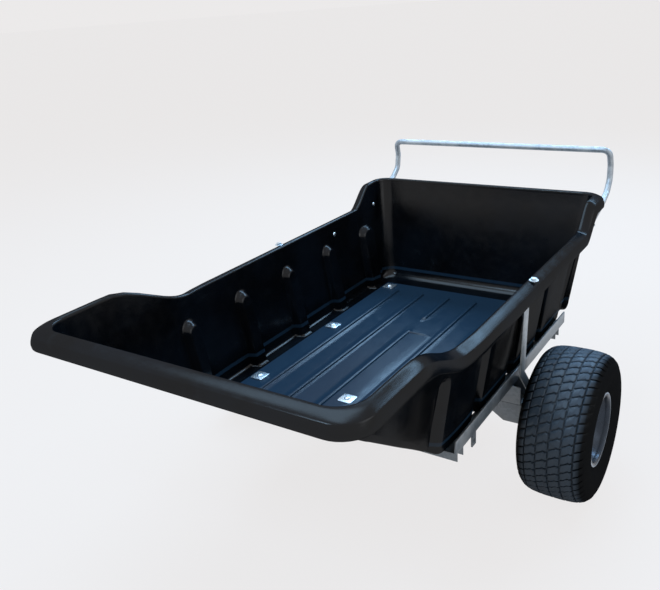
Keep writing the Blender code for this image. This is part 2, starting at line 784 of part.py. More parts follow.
def build_rails():
    """Two angle bars, each with a tab below for lashing: the tub's foot stands on their lower legs."""
    outer, inner = RAIL_X, RAIL_X - RAIL_LEG
    low, high = FRAME_Z, RAIL_TOP
    for side, sign in sides():
        angle = [(inner, low), (outer, low), (outer, high), (outer - RAIL_THICK, high),
                 (outer - RAIL_THICK, low + RAIL_THICK), (inner, low + RAIL_THICK)]
        bm = bmesh.new()
        place = at(0, (RAIL_FRONT + RAIL_REAR) / 2, 0) @ Matrix.Diagonal((sign, 1, 1, 1)) @ ALONG_Y
        add_mesh(bm, plate_mesh(angle, RAIL_FRONT - RAIL_REAR), place)
        rail = finish(f"rail_{side}", bm, "galvanised_steel", TIP)

        outline = rectangle((TAB_Y, low - TAB_DROP), (TAB_Y + TAB_WIDTH, low + RAIL_THICK / 2))
        hole = circle((TAB_Y + TAB_WIDTH / 2, low - TAB_DROP * 0.6), TAB_HOLE_RADIUS, 10)
        tab = bmesh.new()
        place = at(sign * (outer - TAB_INSET - TAB_THICK / 2)) @ ALONG_X
        add_mesh(tab, plate_mesh(outline, TAB_THICK, [hole]), place)
        join(rail, tab, f"rail_tab_{side}")


def square_tube(width, height, wall, length):
    """An open-ended rectangular tube along the plate's third axis."""
    outline = rectangle((-width / 2, -height / 2), (width / 2, height / 2))
    bore = rectangle((wall - width / 2, wall - height / 2), (width / 2 - wall, height / 2 - wall))
    return plate_mesh(outline, length, [bore])


def folded_channel(name, half_outline, centre_y, half_width, sheet):
    """A channel folded from sheet, open below and at its ends; the outline is the right half's side view."""
    outline = half_outline + [(-x, z) for x, z in reversed(half_outline)]
    bm = bmesh.new()
    add_mesh(bm, plate_mesh(outline, 2 * half_width), at(y=centre_y) @ ALONG_Y)
    bmesh.ops.dissolve_limit(bm, angle_limit=math.radians(0.4), verts=bm.verts, edges=bm.edges)
    bmesh.ops.recalc_face_normals(bm, faces=bm.faces)
    end_x = max(x for x, _ in outline)
    open_faces = [face for face in bm.faces
                  if face.normal.z < -0.1 or all(abs(abs(vert.co.x) - end_x) < 0.0001 for vert in face.verts)]
    bmesh.ops.delete(bm, geom=open_faces, context="FACES")
    mesh = bpy.data.meshes.new(name)
    bm.to_mesh(mesh)
    bm.free()
    channel = add_object(name, mesh, "galvanised_steel", TIP)
    shell = channel.modifiers.new("sheet", "SOLIDIFY")
    shell.thickness = sheet
    shell.offset = -1
    shell.use_even_offset = True
    return channel


def cut_clamp_holes(piece, row):
    holes = bmesh.new()
    for x, y in clamp_places():
        if y == row:
            low = (x, y, FLOOR_Z - TUB_WALL - CROSS_SHEET - HOLE_PAST)
            add_rod(holes, low, (x, y, FLOOR_Z), FRAME_BOLT_RADIUS + BOLT_CLEARANCE, 8)
    cut(piece, holes, f"{piece.name}_bolt_holes")


def build_cross_members():
    """Folded channels under the rails, raised between them to carry the floor panel."""
    floor_under = FLOOR_Z - TUB_WALL - GAP
    top, low = FRAME_Z - WELD, FRAME_Z - WELD - CROSS_SIZE
    foot = BEARER_HALF + BEARER_SPREAD
    outline = [(BEARER_HALF, floor_under), (foot, top), (CROSS_REACH, top), (CROSS_REACH, low)]
    for name, y in (("cross_member_rear", CLAMP_ROWS[0]), ("cross_member_front", CLAMP_ROWS[2])):
        channel = folded_channel(name, outline, y, CROSS_SIZE / 2, CROSS_SHEET)
        cut_clamp_holes(channel, y)

    bearer = bmesh.new()
    low = BEAM_TOP + WELD
    tube = square_tube(CROSS_SIZE, floor_under - low, CROSS_SHEET, 2 * BEARER_HALF)
    add_mesh(bearer, tube, at(0, BEARER_Y, (low + floor_under) / 2) @ ALONG_X)
    cut_clamp_holes(finish("floor_bearer", bearer, "galvanised_steel", TIP), CLAMP_ROWS[1])


def build_axle_beam():
    """A folded channel with a drop at each end that brings it to the spindles' height."""
    start, end = BEAM_CRANK
    outline = [(start, BEAM_TOP), (end, BEAM_END_TOP), (BEAM_END, BEAM_END_TOP),
               (BEAM_END, BEAM_END_TOP - BEAM_DEPTH), (end + BEAM_LOW_STEP, BEAM_END_TOP - BEAM_DEPTH),
               (start + BEAM_LOW_STEP, BEAM_TOP - BEAM_DEPTH)]
    folded_channel("axle_beam", outline, 0, BEAM_HALF_WIDTH, BEAM_SHEET)


def build_axle_ends():
    """Under each rail a hanger on the beam's end, and on that end a plate with the spindle welded to it."""
    half = BEAM_HALF_WIDTH
    for side, sign in sides():
        web, edge = HANGER_X
        inner = half - HANGER_THICK
        outline = [(web, -half), (edge, -half), (edge, -inner), (web + HANGER_THICK, -inner),
                   (web + HANGER_THICK, inner), (edge, inner), (edge, half), (web, half)]
        low, high = BEAM_END_TOP + WELD, FRAME_Z - WELD
        hanger = bmesh.new()
        place = at(z=(low + high) / 2) @ Matrix.Diagonal((sign, 1, 1, 1))
        add_mesh(hanger, plate_mesh(outline, high - low), place)
        finish(f"axle_hanger_{side}", hanger, "galvanised_steel", TIP)

        outline = rectangle((-half, BEAM_END_TOP - BEAM_DEPTH), (half, BEAM_END_TOP + END_PLATE_RISE))
        hole = circle((STRAP_Y, STRAP_BOLT_Z), FRAME_BOLT_RADIUS + BOLT_CLEARANCE, 8)
        plate = bmesh.new()
        add_mesh(plate, plate_mesh(outline, END_PLATE_THICK, [hole]), at(sign * END_PLATE_X) @ ALONG_X)
        stub = finish(f"stub_axle_{side}", plate, "galvanised_steel", TIP)

        shoulder = TRACK_HALF - HUB_LENGTH / 2 - END_PLATE_X
        length = TRACK_HALF + HUB_LENGTH / 2 + SPINDLE_TAIL - END_PLATE_X
        profile = [(0, length), (SPINDLE_RADIUS, length), (SPINDLE_RADIUS, shoulder),
                   (SPINDLE_SHOULDER_RADIUS, shoulder), (SPINDLE_SHOULDER_RADIUS, 0), (0, 0)]
        spindle = bmesh.new()
        place = aim((sign * END_PLATE_X, 0, AXLE_Z), (sign, 0, AXLE_Z))
        add_mesh(spindle, turned_mesh(profile, 20), place)
        join(stub, spindle, f"spindle_{side}")

        nut_radius, nut_thick = SPINDLE_NUT
        outline = circle((0, 0), nut_radius, 6)
        nut_mesh = plate_mesh(outline, nut_thick, [circle((0, 0), SPINDLE_RADIUS + GAP * 1.5, 20)])
        nut = bmesh.new()
        nut_x = TRACK_HALF + HUB_LENGTH / 2 + GAP + nut_thick / 2
        add_mesh(nut, nut_mesh, at(sign * nut_x, 0, AXLE_Z) @ ALONG_X)
        finish(f"spindle_nut_{side}", nut, "zinc_plated", TIP)


def strip_outline(path, thickness):
    """The outline of a bent flat bar: its path moved half its thickness to each side, mitred at the bends."""
    points = [Vector(point) for point in path]
    left, right = [], []
    for index, point in enumerate(points):
        before = (point - points[index - 1]).normalized() if index else None
        after = (points[index + 1] - point).normalized() if index < len(points) - 1 else None
        along = ((before or after) + (after or before)).normalized()
        across = Vector((-along.y, along.x))
        mitre = thickness / 2 / max(abs(along.dot(after or before)), 0.3)
        left.append(point + across * mitre)
        right.append(point - across * mitre)
    return [tuple(point) for point in left + right[::-1]]


def build_straps():
    """Flat bars from the rim bolts down outside the walls, past the rails, to the axle's end plates."""
    tab_inner, tab_outer = STRAP_TAB_X
    path = [(tab_outer, STRAP_TAB_Z), (tab_inner, STRAP_TAB_Z), *STRAP_MIDDLE, (STRAP_END_X, STRAP_BENDS_AT),
            (STRAP_END_X, STRAP_END)]
    outline = strip_outline([(x, FLOOR_Z + z) for x, z in path], STRAP_THICK)
    for side, sign in sides():
        bm = bmesh.new()
        place = at(y=STRAP_Y) @ Matrix.Diagonal((sign, 1, 1, 1)) @ ALONG_Y
        add_mesh(bm, plate_mesh(outline, STRAP_WIDTH), place)
        strap = finish(f"strap_{side}", bm, "galvanised_steel", TIP)
        holes = bmesh.new()
        radius = FRAME_BOLT_RADIUS + BOLT_CLEARANCE
        tab_x, tab_z = sign * STRAP_BOLT_X, FLOOR_Z + STRAP_TAB_Z
        add_rod(holes, (tab_x, 0, tab_z - HOLE_PAST), (tab_x, 0, tab_z + HOLE_PAST), radius, 8)
        end = Vector((sign * STRAP_END_X, STRAP_Y, STRAP_BOLT_Z))
        past = Vector((HOLE_PAST, 0, 0))
        add_rod(holes, end - past, end + past, radius, 8)
        cut(strap, holes, f"strap_holes_{side}")
        seat = end + Vector((sign * (STRAP_THICK / 2 + GAP), 0, 0))
        nut, length = nut_ring(STRAP_NUT, STRAP_THICK + END_PLATE_THICK + 3 * GAP)
        bolt = bmesh.new()
        add_bolt(bolt, seat, length, (-sign, 0, 0), FRAME_BOLT_RADIUS, STRAP_HEAD, [nut])
        finish(f"strap_bolt_{side}", bolt, "zinc_plated", TIP)


# The tipping handle

def build_handle():
    """One bent tube; its arms run back under the rim and are bolted to the side walls."""
    arm = [(HANDLE_ARM_X, y, z) for y, z in (HANDLE_ARM_END, HANDLE_BOLTS[1])]
    half = arm + list(HANDLE_LEG) + [(HANDLE_HALF, HANDLE_Y, HANDLE_TOP)]
    path = half + [(-x, y, z) for x, y, z in reversed(half)]
    path = rounded_path([(x, y, FLOOR_Z + z) for x, y, z in path], HANDLE_BEND)
    tube_mesh = pipe_mesh(path, HANDLE_RADIUS, capped=False)
    tube_mesh.shade_smooth()
    handle = add_object("handle", tube_mesh, "galvanised_steel", TIP)
    tube = handle.modifiers.new("tube_wall", "SOLIDIFY")
    tube.thickness = HANDLE_WALL
    tube.offset = -1

    holes = bmesh.new()
    radius = HANDLE_BOLT_RADIUS + BOLT_CLEARANCE
    tube_in, tube_out = HANDLE_ARM_X - HANDLE_RADIUS, HANDLE_ARM_X + HANDLE_RADIUS
    for side, sign in sides():
        for name, (y, z) in zip(("rear", "front"), HANDLE_BOLTS):
            inner = wall_inner_x(y, z)
            z += FLOOR_Z
            start, end = sign * (tube_in - HOLE_PAST), sign * (tube_out + HOLE_PAST)
            add_rod(holes, (start, y, z), (end, y, z), radius, 8)
            seat = inner - HANDLE_HEAD[0] * WALL_DRAFT - GAP
            spacer_at = inner + TUB_WALL + HANDLE_SPACER_RADIUS * WALL_DRAFT + 2 * GAP - seat
            spacer = (HANDLE_SPACER_RADIUS, spacer_at, tube_in - GAP - seat - spacer_at)
            nut, length = nut_ring(HANDLE_NUT, tube_out + GAP - seat)
            bolt = bmesh.new()
            add_bolt(bolt, (sign * seat, y, z), length, (sign, 0, 0), HANDLE_BOLT_RADIUS, HANDLE_HEAD,
                     [spacer, nut])
            finish(f"handle_bolt_{name}_{side}", bolt, "zinc_plated", TIP)
    cut(handle, holes, "handle_bolt_holes")


# Wheels

def wheel_profile(points, sign):
    """A profile for a wheel on one side: points give (radius, distance outwards from the wheel's middle)."""
    if sign > 0:
        return points
    return [(radius, -along) for radius, along in reversed(points)]


def both_ways(points):
    """Points down to the middle plane, and their mirror images below it."""
    return points + [(radius, -along) for radius, along in reversed(points)]


def tyre_profile():
    """The tyre's section; its side and its inside are points as (depth below the tread, distance in)."""
    half = TYRE_WIDTH / 2
    bead = RIM_WIDTH / 2 - RIM_SHEET - 2 * GAP
    foot = BEAD_RADIUS + GAP * 1.5
    side = [(TYRE_RADIUS - below, half - inset) for below, inset in TYRE_SIDE]
    lining = [(TYRE_RADIUS - below, half - inset) for below, inset in TYRE_INSIDE]
    outside = both_ways([(foot, bead - TYRE_TOE), *side, (TYRE_RADIUS, TREAD_HALF)])
    inside = both_ways([(foot, bead - TYRE_HEEL), *lining])
    return outside + inside[::-1]


def rim_profile():
    """The barrel with its flanges, bead seats and well, and the disc that is bolted to the hub."""
    edge, sheet = RIM_WIDTH / 2, RIM_SHEET
    seat, well, rounding = BEAD_RADIUS, BEAD_RADIUS - RIM_WELL_DEPTH, RIM_ROUNDING
    outside = both_ways([(RIM_FLANGE_RADIUS, edge), (RIM_FLANGE_RADIUS, edge - sheet),
                         (seat, edge - sheet - rounding), (seat, RIM_SEAT_HALF), (well, RIM_WELL_HALF)])
    below = [(seat - sheet, edge - rounding), (seat - sheet, RIM_SEAT_HALF + 2 * rounding),
             (well - sheet, RIM_WELL_HALF + 2 * rounding)]
    inside = [(radius, -along) for radius, along in below]
    disc_rear, disc_front = HUB_FACE + GAP, HUB_FACE + GAP + DISC_THICK
    inside += [(well - sheet, disc_rear), (DISC_HOLE_RADIUS, disc_rear), (DISC_HOLE_RADIUS, disc_front),
               (well - sheet, disc_front)]
    return outside + inside + below[::-1]


def hub_profile():
    half, barrel, bore = HUB_LENGTH / 2, HUB_BARREL_RADIUS, SPINDLE_SHOULDER_RADIUS - 0.001
    seat_end = half - BEARING_WIDTH
    outside = [(barrel, half), (barrel, HUB_FACE), (HUB_FLANGE_RADIUS, HUB_FACE),
               (HUB_FLANGE_RADIUS, HUB_FACE - HUB_FLANGE_THICK), (barrel, HUB_FACE - HUB_FLANGE_THICK),
               (barrel, -half)]
    inside = [(BEARING_RADIUS, -half), (BEARING_RADIUS, -seat_end), (bore, -seat_end), (bore, seat_end),
              (BEARING_RADIUS, seat_end), (BEARING_RADIUS, half)]
    return outside + inside


def bearing_profile(middle):
    outer, inner, half = BEARING_RADIUS - GAP, SPINDLE_RADIUS + GAP, BEARING_WIDTH / 2 - GAP
    return [(outer, middle + half), (outer, middle - half), (inner, middle - half), (inner, middle + half)]


def cap_profile():
    """A pressed cup over the spindle's end, open towards the hub."""
    foot = HUB_LENGTH / 2 + GAP
    outer, depth, wall = HUB_BARREL_RADIUS - RIM_ROUNDING, CAP_DEPTH, CAP_WALL
    outside = [(0, depth), (0.65 * outer, 0.96 * depth), (0.94 * outer, 0.65 * depth), (outer, 0)]
    inside = [(outer - wall, 0), (0.85 * outer, 0.57 * depth), (0.58 * outer, 0.80 * depth),
              (0, depth - wall)]
    return [(radius, foot + along) for radius, along in outside + inside]


def build_wheel(side, sign):
    wheel = Joint(f"wheel_axis_{side}", (sign * TRACK_HALF, 0, AXLE_Z), TIP)
    centre = (sign * TRACK_HALF, 0, AXLE_Z)
    turned(f"tyre_{side}", wheel_profile(tyre_profile(), sign), "tyre_rubber", wheel, centre, 32)
    rim = turned(f"rim_{side}", wheel_profile(rim_profile(), sign), "rim_silver", wheel, centre, 32)
    hub = turned(f"hub_{side}", wheel_profile(hub_profile(), sign), "zinc_plated", wheel, centre, 24)
    middle = HUB_LENGTH / 2 - BEARING_WIDTH / 2
    for name, along in (("inner", -middle), ("outer", middle)):
        profile = wheel_profile(bearing_profile(along), sign)
        turned(f"bearing_{name}_{side}", profile, "bearing_steel", wheel, centre, 20)
    cap = bmesh.new()
    add_mesh(cap, turned_mesh(cap_profile(), 20), aim(centre, (sign, 0, AXLE_Z)))
    finish(f"hub_cap_{side}", cap, "zinc_plated", wheel, smooth=True)

    studs, holes = bmesh.new(), bmesh.new()
    face = HUB_FACE + 2 * GAP + DISC_THICK
    for number in range(WHEEL_BOLTS):
        angle = 2 * math.pi * (number + 0.5) / WHEEL_BOLTS
        y, z = BOLT_CIRCLE_RADIUS * math.cos(angle), AXLE_Z + BOLT_CIRCLE_RADIUS * math.sin(angle)

        def along(distance):
            return (sign * (TRACK_HALF + distance), y, z)

        length = face - HUB_FACE + HUB_FLANGE_THICK + THREAD_END
        add_bolt(studs, along(face), length, (-sign, 0, 0), WHEEL_BOLT_RADIUS, WHEEL_HEAD)
        add_rod(holes, along(HUB_FACE - HOLE_PAST), along(face + HOLE_PAST), WHEEL_BOLT_RADIUS + BOLT_CLEARANCE, 8)
    join(hub, studs, f"wheel_studs_{side}")
    cut(rim, holes, f"rim_stud_holes_{side}")


# Drawbar, with the pivot that the tub tips on

def add_tube(bm, start, end, outer, inner, sides_count=20):
    """A round tube between two points."""
    length = (Vector(end) - Vector(start)).length
    tube = plate_mesh(circle((0, 0), outer, sides_count), length, [circle((0, 0), inner, sides_count)])
    add_mesh(bm, tube, aim(start, end) @ at(z=length / 2))


def build_pivot():
    """The sleeve on the drawbar's end turns on a pin between two lugs welded inside the axle beam."""
    half = SLEEVE_LENGTH / 2
    sleeve = bmesh.new()
    add_tube(sleeve, (-half, 0, AXLE_Z), (half, 0, AXLE_Z), SLEEVE_RADIUS, PIVOT_RADIUS + GAP)
    finish("pivot_sleeve", sleeve, "galvanised_steel", BASE)

    lug_x = half + GAP + LUG_THICK / 2
    lug_half = BEAM_HALF_WIDTH - BEAM_SHEET - GAP
    outline = [(-lug_half, BEAM_TOP - BEAM_SHEET - WELD)]
    outline += arc((0, AXLE_Z), lug_half, 180, 360, 10) + [(lug_half, BEAM_TOP - BEAM_SHEET - WELD)]
    for side, sign in sides():
        lug = bmesh.new()
        lug_mesh = plate_mesh(outline, LUG_THICK, [circle((0, AXLE_Z), PIVOT_RADIUS + GAP, 16)])
        add_mesh(lug, lug_mesh, at(sign * lug_x) @ ALONG_X)
        finish(f"pivot_lug_{side}", lug, "galvanised_steel", TIP)

    pin = bmesh.new()
    seat = half + 2 * GAP + LUG_THICK
    nut, length = nut_ring(PIVOT_NUT, 2 * seat)
    add_bolt(pin, (-seat, 0, AXLE_Z), length, (1, 0, 0), PIVOT_RADIUS, PIVOT_HEAD, [nut], 16)
    finish("pivot_pin", pin, "zinc_plated", TIP, smooth=True)


def build_drawbar():
    rear = SLEEVE_RADIUS + GAP
    bar = bmesh.new()
    tube = square_tube(BAR_SIZE, BAR_SIZE, BAR_WALL, BAR_FRONT - rear)
    add_mesh(bar, tube, at(0, (BAR_FRONT + rear) / 2, AXLE_Z) @ ALONG_Y)
    finish("drawbar", bar, "galvanised_steel", BASE)

    y = CLAMP_ROWS[2]
    cross_low = FRAME_Z - WELD - CROSS_SIZE
    half = CROSS_SIZE / 2
    post, pad = bmesh.new(), bmesh.new()
    pad_low = cross_low - GAP - PAD_THICK
    width = SADDLE_HALF_WIDTH
    add_box(post, (-width, y - half, BAR_TOP + WELD), (width, y + half, pad_low - GAP))
    add_box(pad, (-width, y - half, pad_low), (width, y + half, cross_low - GAP))
    finish("saddle", post, "galvanised_steel", BASE)
    finish("saddle_pad", pad, "pad_rubber", BASE)


def build_latch():
    """A bolt that the hand slides through its block into the lug under the front cross-member."""
    slide = Joint("latch_slide", (LATCH_LUG_X[0] - LATCH_END, LATCH_Y, LATCH_Z), BASE)
    face = CLAMP_ROWS[2] + CROSS_SIZE / 2 + GAP
    block_low, block_high = LATCH_BLOCK_X
    outline = rectangle((face + LATCH_PLAY, BAR_TOP + WELD),
                        (2 * LATCH_Y - face - LATCH_PLAY, LATCH_Z + LATCH_SHOULDER))
    block = bmesh.new()
    hole = circle((LATCH_Y, LATCH_Z), LATCH_RADIUS + GAP, 14)
    block_mesh = plate_mesh(outline, block_high - block_low, [hole])
    add_mesh(block, block_mesh, at((block_low + block_high) / 2) @ ALONG_X)
    finish("latch_block", block, "galvanised_steel", BASE)

    lug_low, lug_high = LATCH_LUG_X
    outline = rectangle((face, LATCH_Z - LATCH_LUG_BELOW), (2 * LATCH_Y - face, FRAME_Z))
    lug = bmesh.new()
    hole = circle((LATCH_Y, LATCH_Z), LATCH_RADIUS + LATCH_PLAY, 14)
    add_mesh(lug, plate_mesh(outline, lug_high - lug_low, [hole]), at((lug_low + lug_high) / 2) @ ALONG_X)
    finish("latch_lug", lug, "galvanised_steel", TIP)

    reach_x, reach_y = LATCH_REACH
    path = rounded_path([(lug_low - LATCH_END, LATCH_Y, LATCH_Z), (reach_x, LATCH_Y, LATCH_Z),
                         (reach_x, reach_y, LATCH_Z)], LATCH_BEND)
    bolt = bmesh.new()
    add_mesh(bolt, pipe_mesh(path, LATCH_RADIUS))
    finish("latch_bolt", bolt, "zinc_plated", slide, smooth=True)


def build_stand():
    """A leg that leans forward onto its stop, and folds back under the drawbar."""
    pivot = Joint("stand_axis", (0, STAND_Y, STAND_Z), BASE)
    lean = math.tan(STAND_LEAN)
    ear_x = BAR_SIZE / 2 + GAP + EAR_THICK / 2
    hole_radius = STAND_BOLT_RADIUS + BOLT_CLEARANCE
    (rear, below), (front, above) = EAR_REACH
    outline = rectangle((STAND_Y + rear, STAND_Z + below), (STAND_Y + front, AXLE_Z + above))
    ears = []
    for _, sign in sides():
        ear = bmesh.new()
        ear_mesh = plate_mesh(outline, EAR_THICK, [circle((STAND_Y, STAND_Z), hole_radius, 10)])
        add_mesh(ear, ear_mesh, at(sign * ear_x) @ ALONG_X)
        ears.append(ear)
    stop_z = STAND_Z - STOP_BELOW
    stop_y = STAND_Y + lean * (STAND_Z - stop_z) + STAND_DEPTH / 2 + STOP_RADIUS / math.cos(STAND_LEAN) + GAP
    stop = bmesh.new()
    add_rod(stop, (-ear_x, stop_y, stop_z), (ear_x, stop_y, stop_z), STOP_RADIUS, 12)
    bracket = finish("stand_bracket", ears[0], "galvanised_steel", BASE)
    join(bracket, stop, "stand_stop_rod")
    join(bracket, ears[1], "stand_right_ear")

    top, low = STAND_Z + STAND_TOP, FOOT_SIZE[2] / 2
    shear = Matrix(((1, 0, 0, 0), (0, 1, -lean, STAND_Y + lean * STAND_Z), (0, 0, 1, 0), (0, 0, 0, 1)))
    leg_mesh = square_tube(BAR_SIZE - GAP, STAND_DEPTH, STAND_WALL, top - low)
    leg = bmesh.new()
    add_mesh(leg, leg_mesh, shear @ at(z=(top + low) / 2))
    leg_piece = finish("stand_leg", leg, "galvanised_steel", pivot)
    hole = bmesh.new()
    add_rod(hole, (-BAR_SIZE, STAND_Y, STAND_Z), (BAR_SIZE, STAND_Y, STAND_Z), hole_radius, 10)
    cut(leg_piece, hole, "stand_leg_hole")
    foot = bmesh.new()
    width, depth, thick = FOOT_SIZE
    foot_y = STAND_Y + lean * STAND_Z
    add_box(foot, (-width / 2, foot_y - depth / 2, 0), (width / 2, foot_y + depth / 2, thick))
    join(leg_piece, foot, "stand_foot")

    seat = ear_x + EAR_THICK / 2 + GAP
    bolt = bmesh.new()
    nut, length = nut_ring(STAND_NUT, 2 * seat)
    add_bolt(bolt, (-seat, STAND_Y, STAND_Z), length, (1, 0, 0), STAND_BOLT_RADIUS, STAND_HEAD, [nut], 10)
    finish("stand_bolt", bolt, "zinc_plated", BASE)


def build_hitch():
    """A fork that turns in a housing at the drawbar's end, and the pin that drops through it."""
    swivel = Joint("swivel_axis", (0, FORK_REAR, AXLE_Z), BASE)
    lift = Joint("pin_axis", (0, HITCH_PIN_Y, AXLE_Z), swivel)
    housing = bmesh.new()
    housing_rear = BAR_FRONT + GAP
    add_tube(housing, (0, housing_rear, AXLE_Z), (0, housing_rear + HOUSING_LENGTH, AXLE_Z), HOUSING_RADIUS,
             HITCH_SPINDLE_RADIUS + GAP)
    finish("swivel_housing", housing, "galvanised_steel", BASE)

    web = FORK_REAR + FORK_WEB
    gap, outer = FORK_GAP / 2, FORK_GAP / 2 + FORK_THICK
    outline = [(FORK_REAR, AXLE_Z - outer), (HITCH_FRONT, AXLE_Z - outer), (HITCH_FRONT, AXLE_Z - gap),
               (web, AXLE_Z - gap), (web, AXLE_Z + gap), (HITCH_FRONT, AXLE_Z + gap),
               (HITCH_FRONT, AXLE_Z + outer), (FORK_REAR, AXLE_Z + outer)]
    fork_mesh = bmesh.new()
    add_mesh(fork_mesh, plate_mesh(outline, FORK_WIDTH), ALONG_X)
    fork = finish("hitch_fork", fork_mesh, "galvanised_steel", swivel)
    holes = bmesh.new()
    radius = HITCH_SPINDLE_RADIUS + BOLT_CLEARANCE
    add_rod(holes, (0, FORK_REAR - HOLE_PAST, AXLE_Z), (0, web + HOLE_PAST, AXLE_Z), radius, 16)
    low, high = (0, HITCH_PIN_Y, AXLE_Z - outer - HOLE_PAST), (0, HITCH_PIN_Y, AXLE_Z + outer + HOLE_PAST)
    add_rod(holes, low, high, HITCH_PIN_RADIUS + GAP, 14)
    cut(fork, holes, "fork_holes")

    seat = web + GAP
    bolt = bmesh.new()
    nut, length = nut_ring(SWIVEL_NUT, seat - BAR_FRONT)
    add_bolt(bolt, (0, seat, AXLE_Z), length, (0, -1, 0), HITCH_SPINDLE_RADIUS, SWIVEL_HEAD, [nut], 16)
    finish("swivel_bolt", bolt, "zinc_plated", swivel, smooth=True)

    pin = bmesh.new()
    length = 2 * outer + GAP + PIN_TAIL
    add_bolt(pin, (0, HITCH_PIN_Y, AXLE_Z + outer + GAP), length, DOWN, HITCH_PIN_RADIUS, PIN_HEAD, sides=14)
    finish("hitch_pin", pin, "zinc_plated", lift, smooth=True)


clear_scene()
PARTS = new_collection("atv_trailer")
CUTTERS = new_collection("cutters")
BASE = Joint("trailer_origin", (0, 0, 0))
TIP = Joint("tip_axis", (0, 0, AXLE_Z), BASE)
build_tub()
build_floor_clamps()
build_rim_bolts()
build_rails()
build_cross_members()
build_axle_beam()
build_axle_ends()
build_straps()
build_handle()
for wheel_side, wheel_sign in sides():
    build_wheel(wheel_side, wheel_sign)
build_pivot()
build_drawbar()
build_latch()
build_stand()
build_hitch()
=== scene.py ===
"""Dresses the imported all-terrain vehicle trailer: shapes, finishes, light and camera.

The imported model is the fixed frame. Every size is in metres. Places are given in the trailer's own
frame, with y from the axle, z from the ground and x to the right, and are moved along Y to the row
frame when a piece is finished.
"""

import json
import logging
import math
from collections.abc import Callable, Sequence
from dataclasses import dataclass
from enum import Enum
from functools import cached_property

import bmesh
import bpy
from mathutils import Matrix, Vector

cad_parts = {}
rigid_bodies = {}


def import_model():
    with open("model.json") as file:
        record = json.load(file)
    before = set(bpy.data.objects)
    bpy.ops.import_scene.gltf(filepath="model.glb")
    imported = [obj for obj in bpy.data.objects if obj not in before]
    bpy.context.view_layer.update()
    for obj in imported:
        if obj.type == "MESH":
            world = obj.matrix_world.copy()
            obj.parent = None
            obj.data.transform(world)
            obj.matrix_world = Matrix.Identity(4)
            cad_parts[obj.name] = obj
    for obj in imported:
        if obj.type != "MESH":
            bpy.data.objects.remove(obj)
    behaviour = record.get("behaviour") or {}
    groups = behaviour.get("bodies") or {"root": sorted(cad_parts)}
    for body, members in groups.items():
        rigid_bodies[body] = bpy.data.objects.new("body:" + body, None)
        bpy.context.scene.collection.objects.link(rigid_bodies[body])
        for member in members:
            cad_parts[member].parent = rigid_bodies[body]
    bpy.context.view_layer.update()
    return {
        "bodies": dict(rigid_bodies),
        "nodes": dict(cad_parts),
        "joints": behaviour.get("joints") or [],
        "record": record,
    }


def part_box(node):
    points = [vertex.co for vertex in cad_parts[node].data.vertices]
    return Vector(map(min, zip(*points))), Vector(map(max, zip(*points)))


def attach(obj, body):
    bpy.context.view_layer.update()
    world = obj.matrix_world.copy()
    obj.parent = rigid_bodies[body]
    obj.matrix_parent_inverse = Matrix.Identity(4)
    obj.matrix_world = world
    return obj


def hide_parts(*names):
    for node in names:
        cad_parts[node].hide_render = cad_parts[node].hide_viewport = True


LOG = logging.getLogger("trailer")

Colour = tuple[float, float, float]
Point2 = tuple[float, float]

# How high the top of the floor panel lies over the ground
FLOOR_LEVEL = 0.375


class Side(Enum):
    """A side of the trailer, with the sign that X has there."""

    LEFT = -1
    RIGHT = 1

    @property
    def label(self) -> str:
        """The ending that this side has in the names of nodes."""
        return self.name.lower()


class Head(Enum):
    """The shape of a bolt's head."""

    HEX = "hex"
    DOME = "dome"


# Plain geometry


def ease(value: float, start: float, end: float) -> float:
    """A smooth S from 0 to 1.

    Args:
        value: Where the S is read.
        start: Where it is still 0.
        end: Where it has reached 1.

    Returns:
        The height of the S at the value.
    """
    share = min(max((value - start) / (end - start), 0), 1)
    return share * share * (3 - 2 * share)


def smooth_chain(points: Sequence[Vector], steps: int) -> list[Vector]:
    """A smooth line through a few points.

    Args:
        points: The points that the line passes through.
        steps: How many pieces each stretch between two points is cut into.

    Returns:
        The points along the line.
    """
    ends = [2 * points[0] - points[1], *points, 2 * points[-1] - points[-2]]
    chain = []
    for before, start, end, after in zip(ends, ends[1:], ends[2:], ends[3:]):
        for step in range(steps):
            t = step / steps
            chain.append(0.5 * (2 * start + (end - before) * t
                                + (2 * before - 5 * start + 4 * end - after) * t * t
                                + (3 * start - before - 3 * end + after) * t * t * t))
    return chain + [points[-1]]


def rounded_corners(points: Sequence[Vector], radius: float, steps: int = 5) -> list[Vector]:
    """A path with each inner corner turned into an even bend.

    Args:
        points: The corners of the path.
        radius: The bend's radius, cut down where a leg is too short for it.
        steps: How many pieces each bend has.

    Returns:
        The points of the path, bends included.
    """
    path = [points[0]]
    for before, corner, after in zip(points, points[1:], points[2:]):
        arrive, leave = (corner - before).normalized(), (after - corner).normalized()
        half_turn = arrive.angle(leave) / 2
        room = min((corner - before).length, (after - corner).length) * 0.48
        reach = min(radius * math.tan(half_turn), room)
        first, last = corner - arrive * reach, corner + leave * reach
        for step in range(steps + 1):
            t = step / steps
            path.append(first.lerp(corner, t).lerp(corner.lerp(last, t), t))
    path.append(points[-1])
    return path


def aim(start: Vector, end: Vector) -> Matrix:
    """A place for a shape made along +Z, so that it starts at one point and runs to another."""
    turn = (end - start).to_track_quat("Z", "Y").to_matrix().to_4x4()
    return Matrix.Translation(start) @ turn


# Finishes


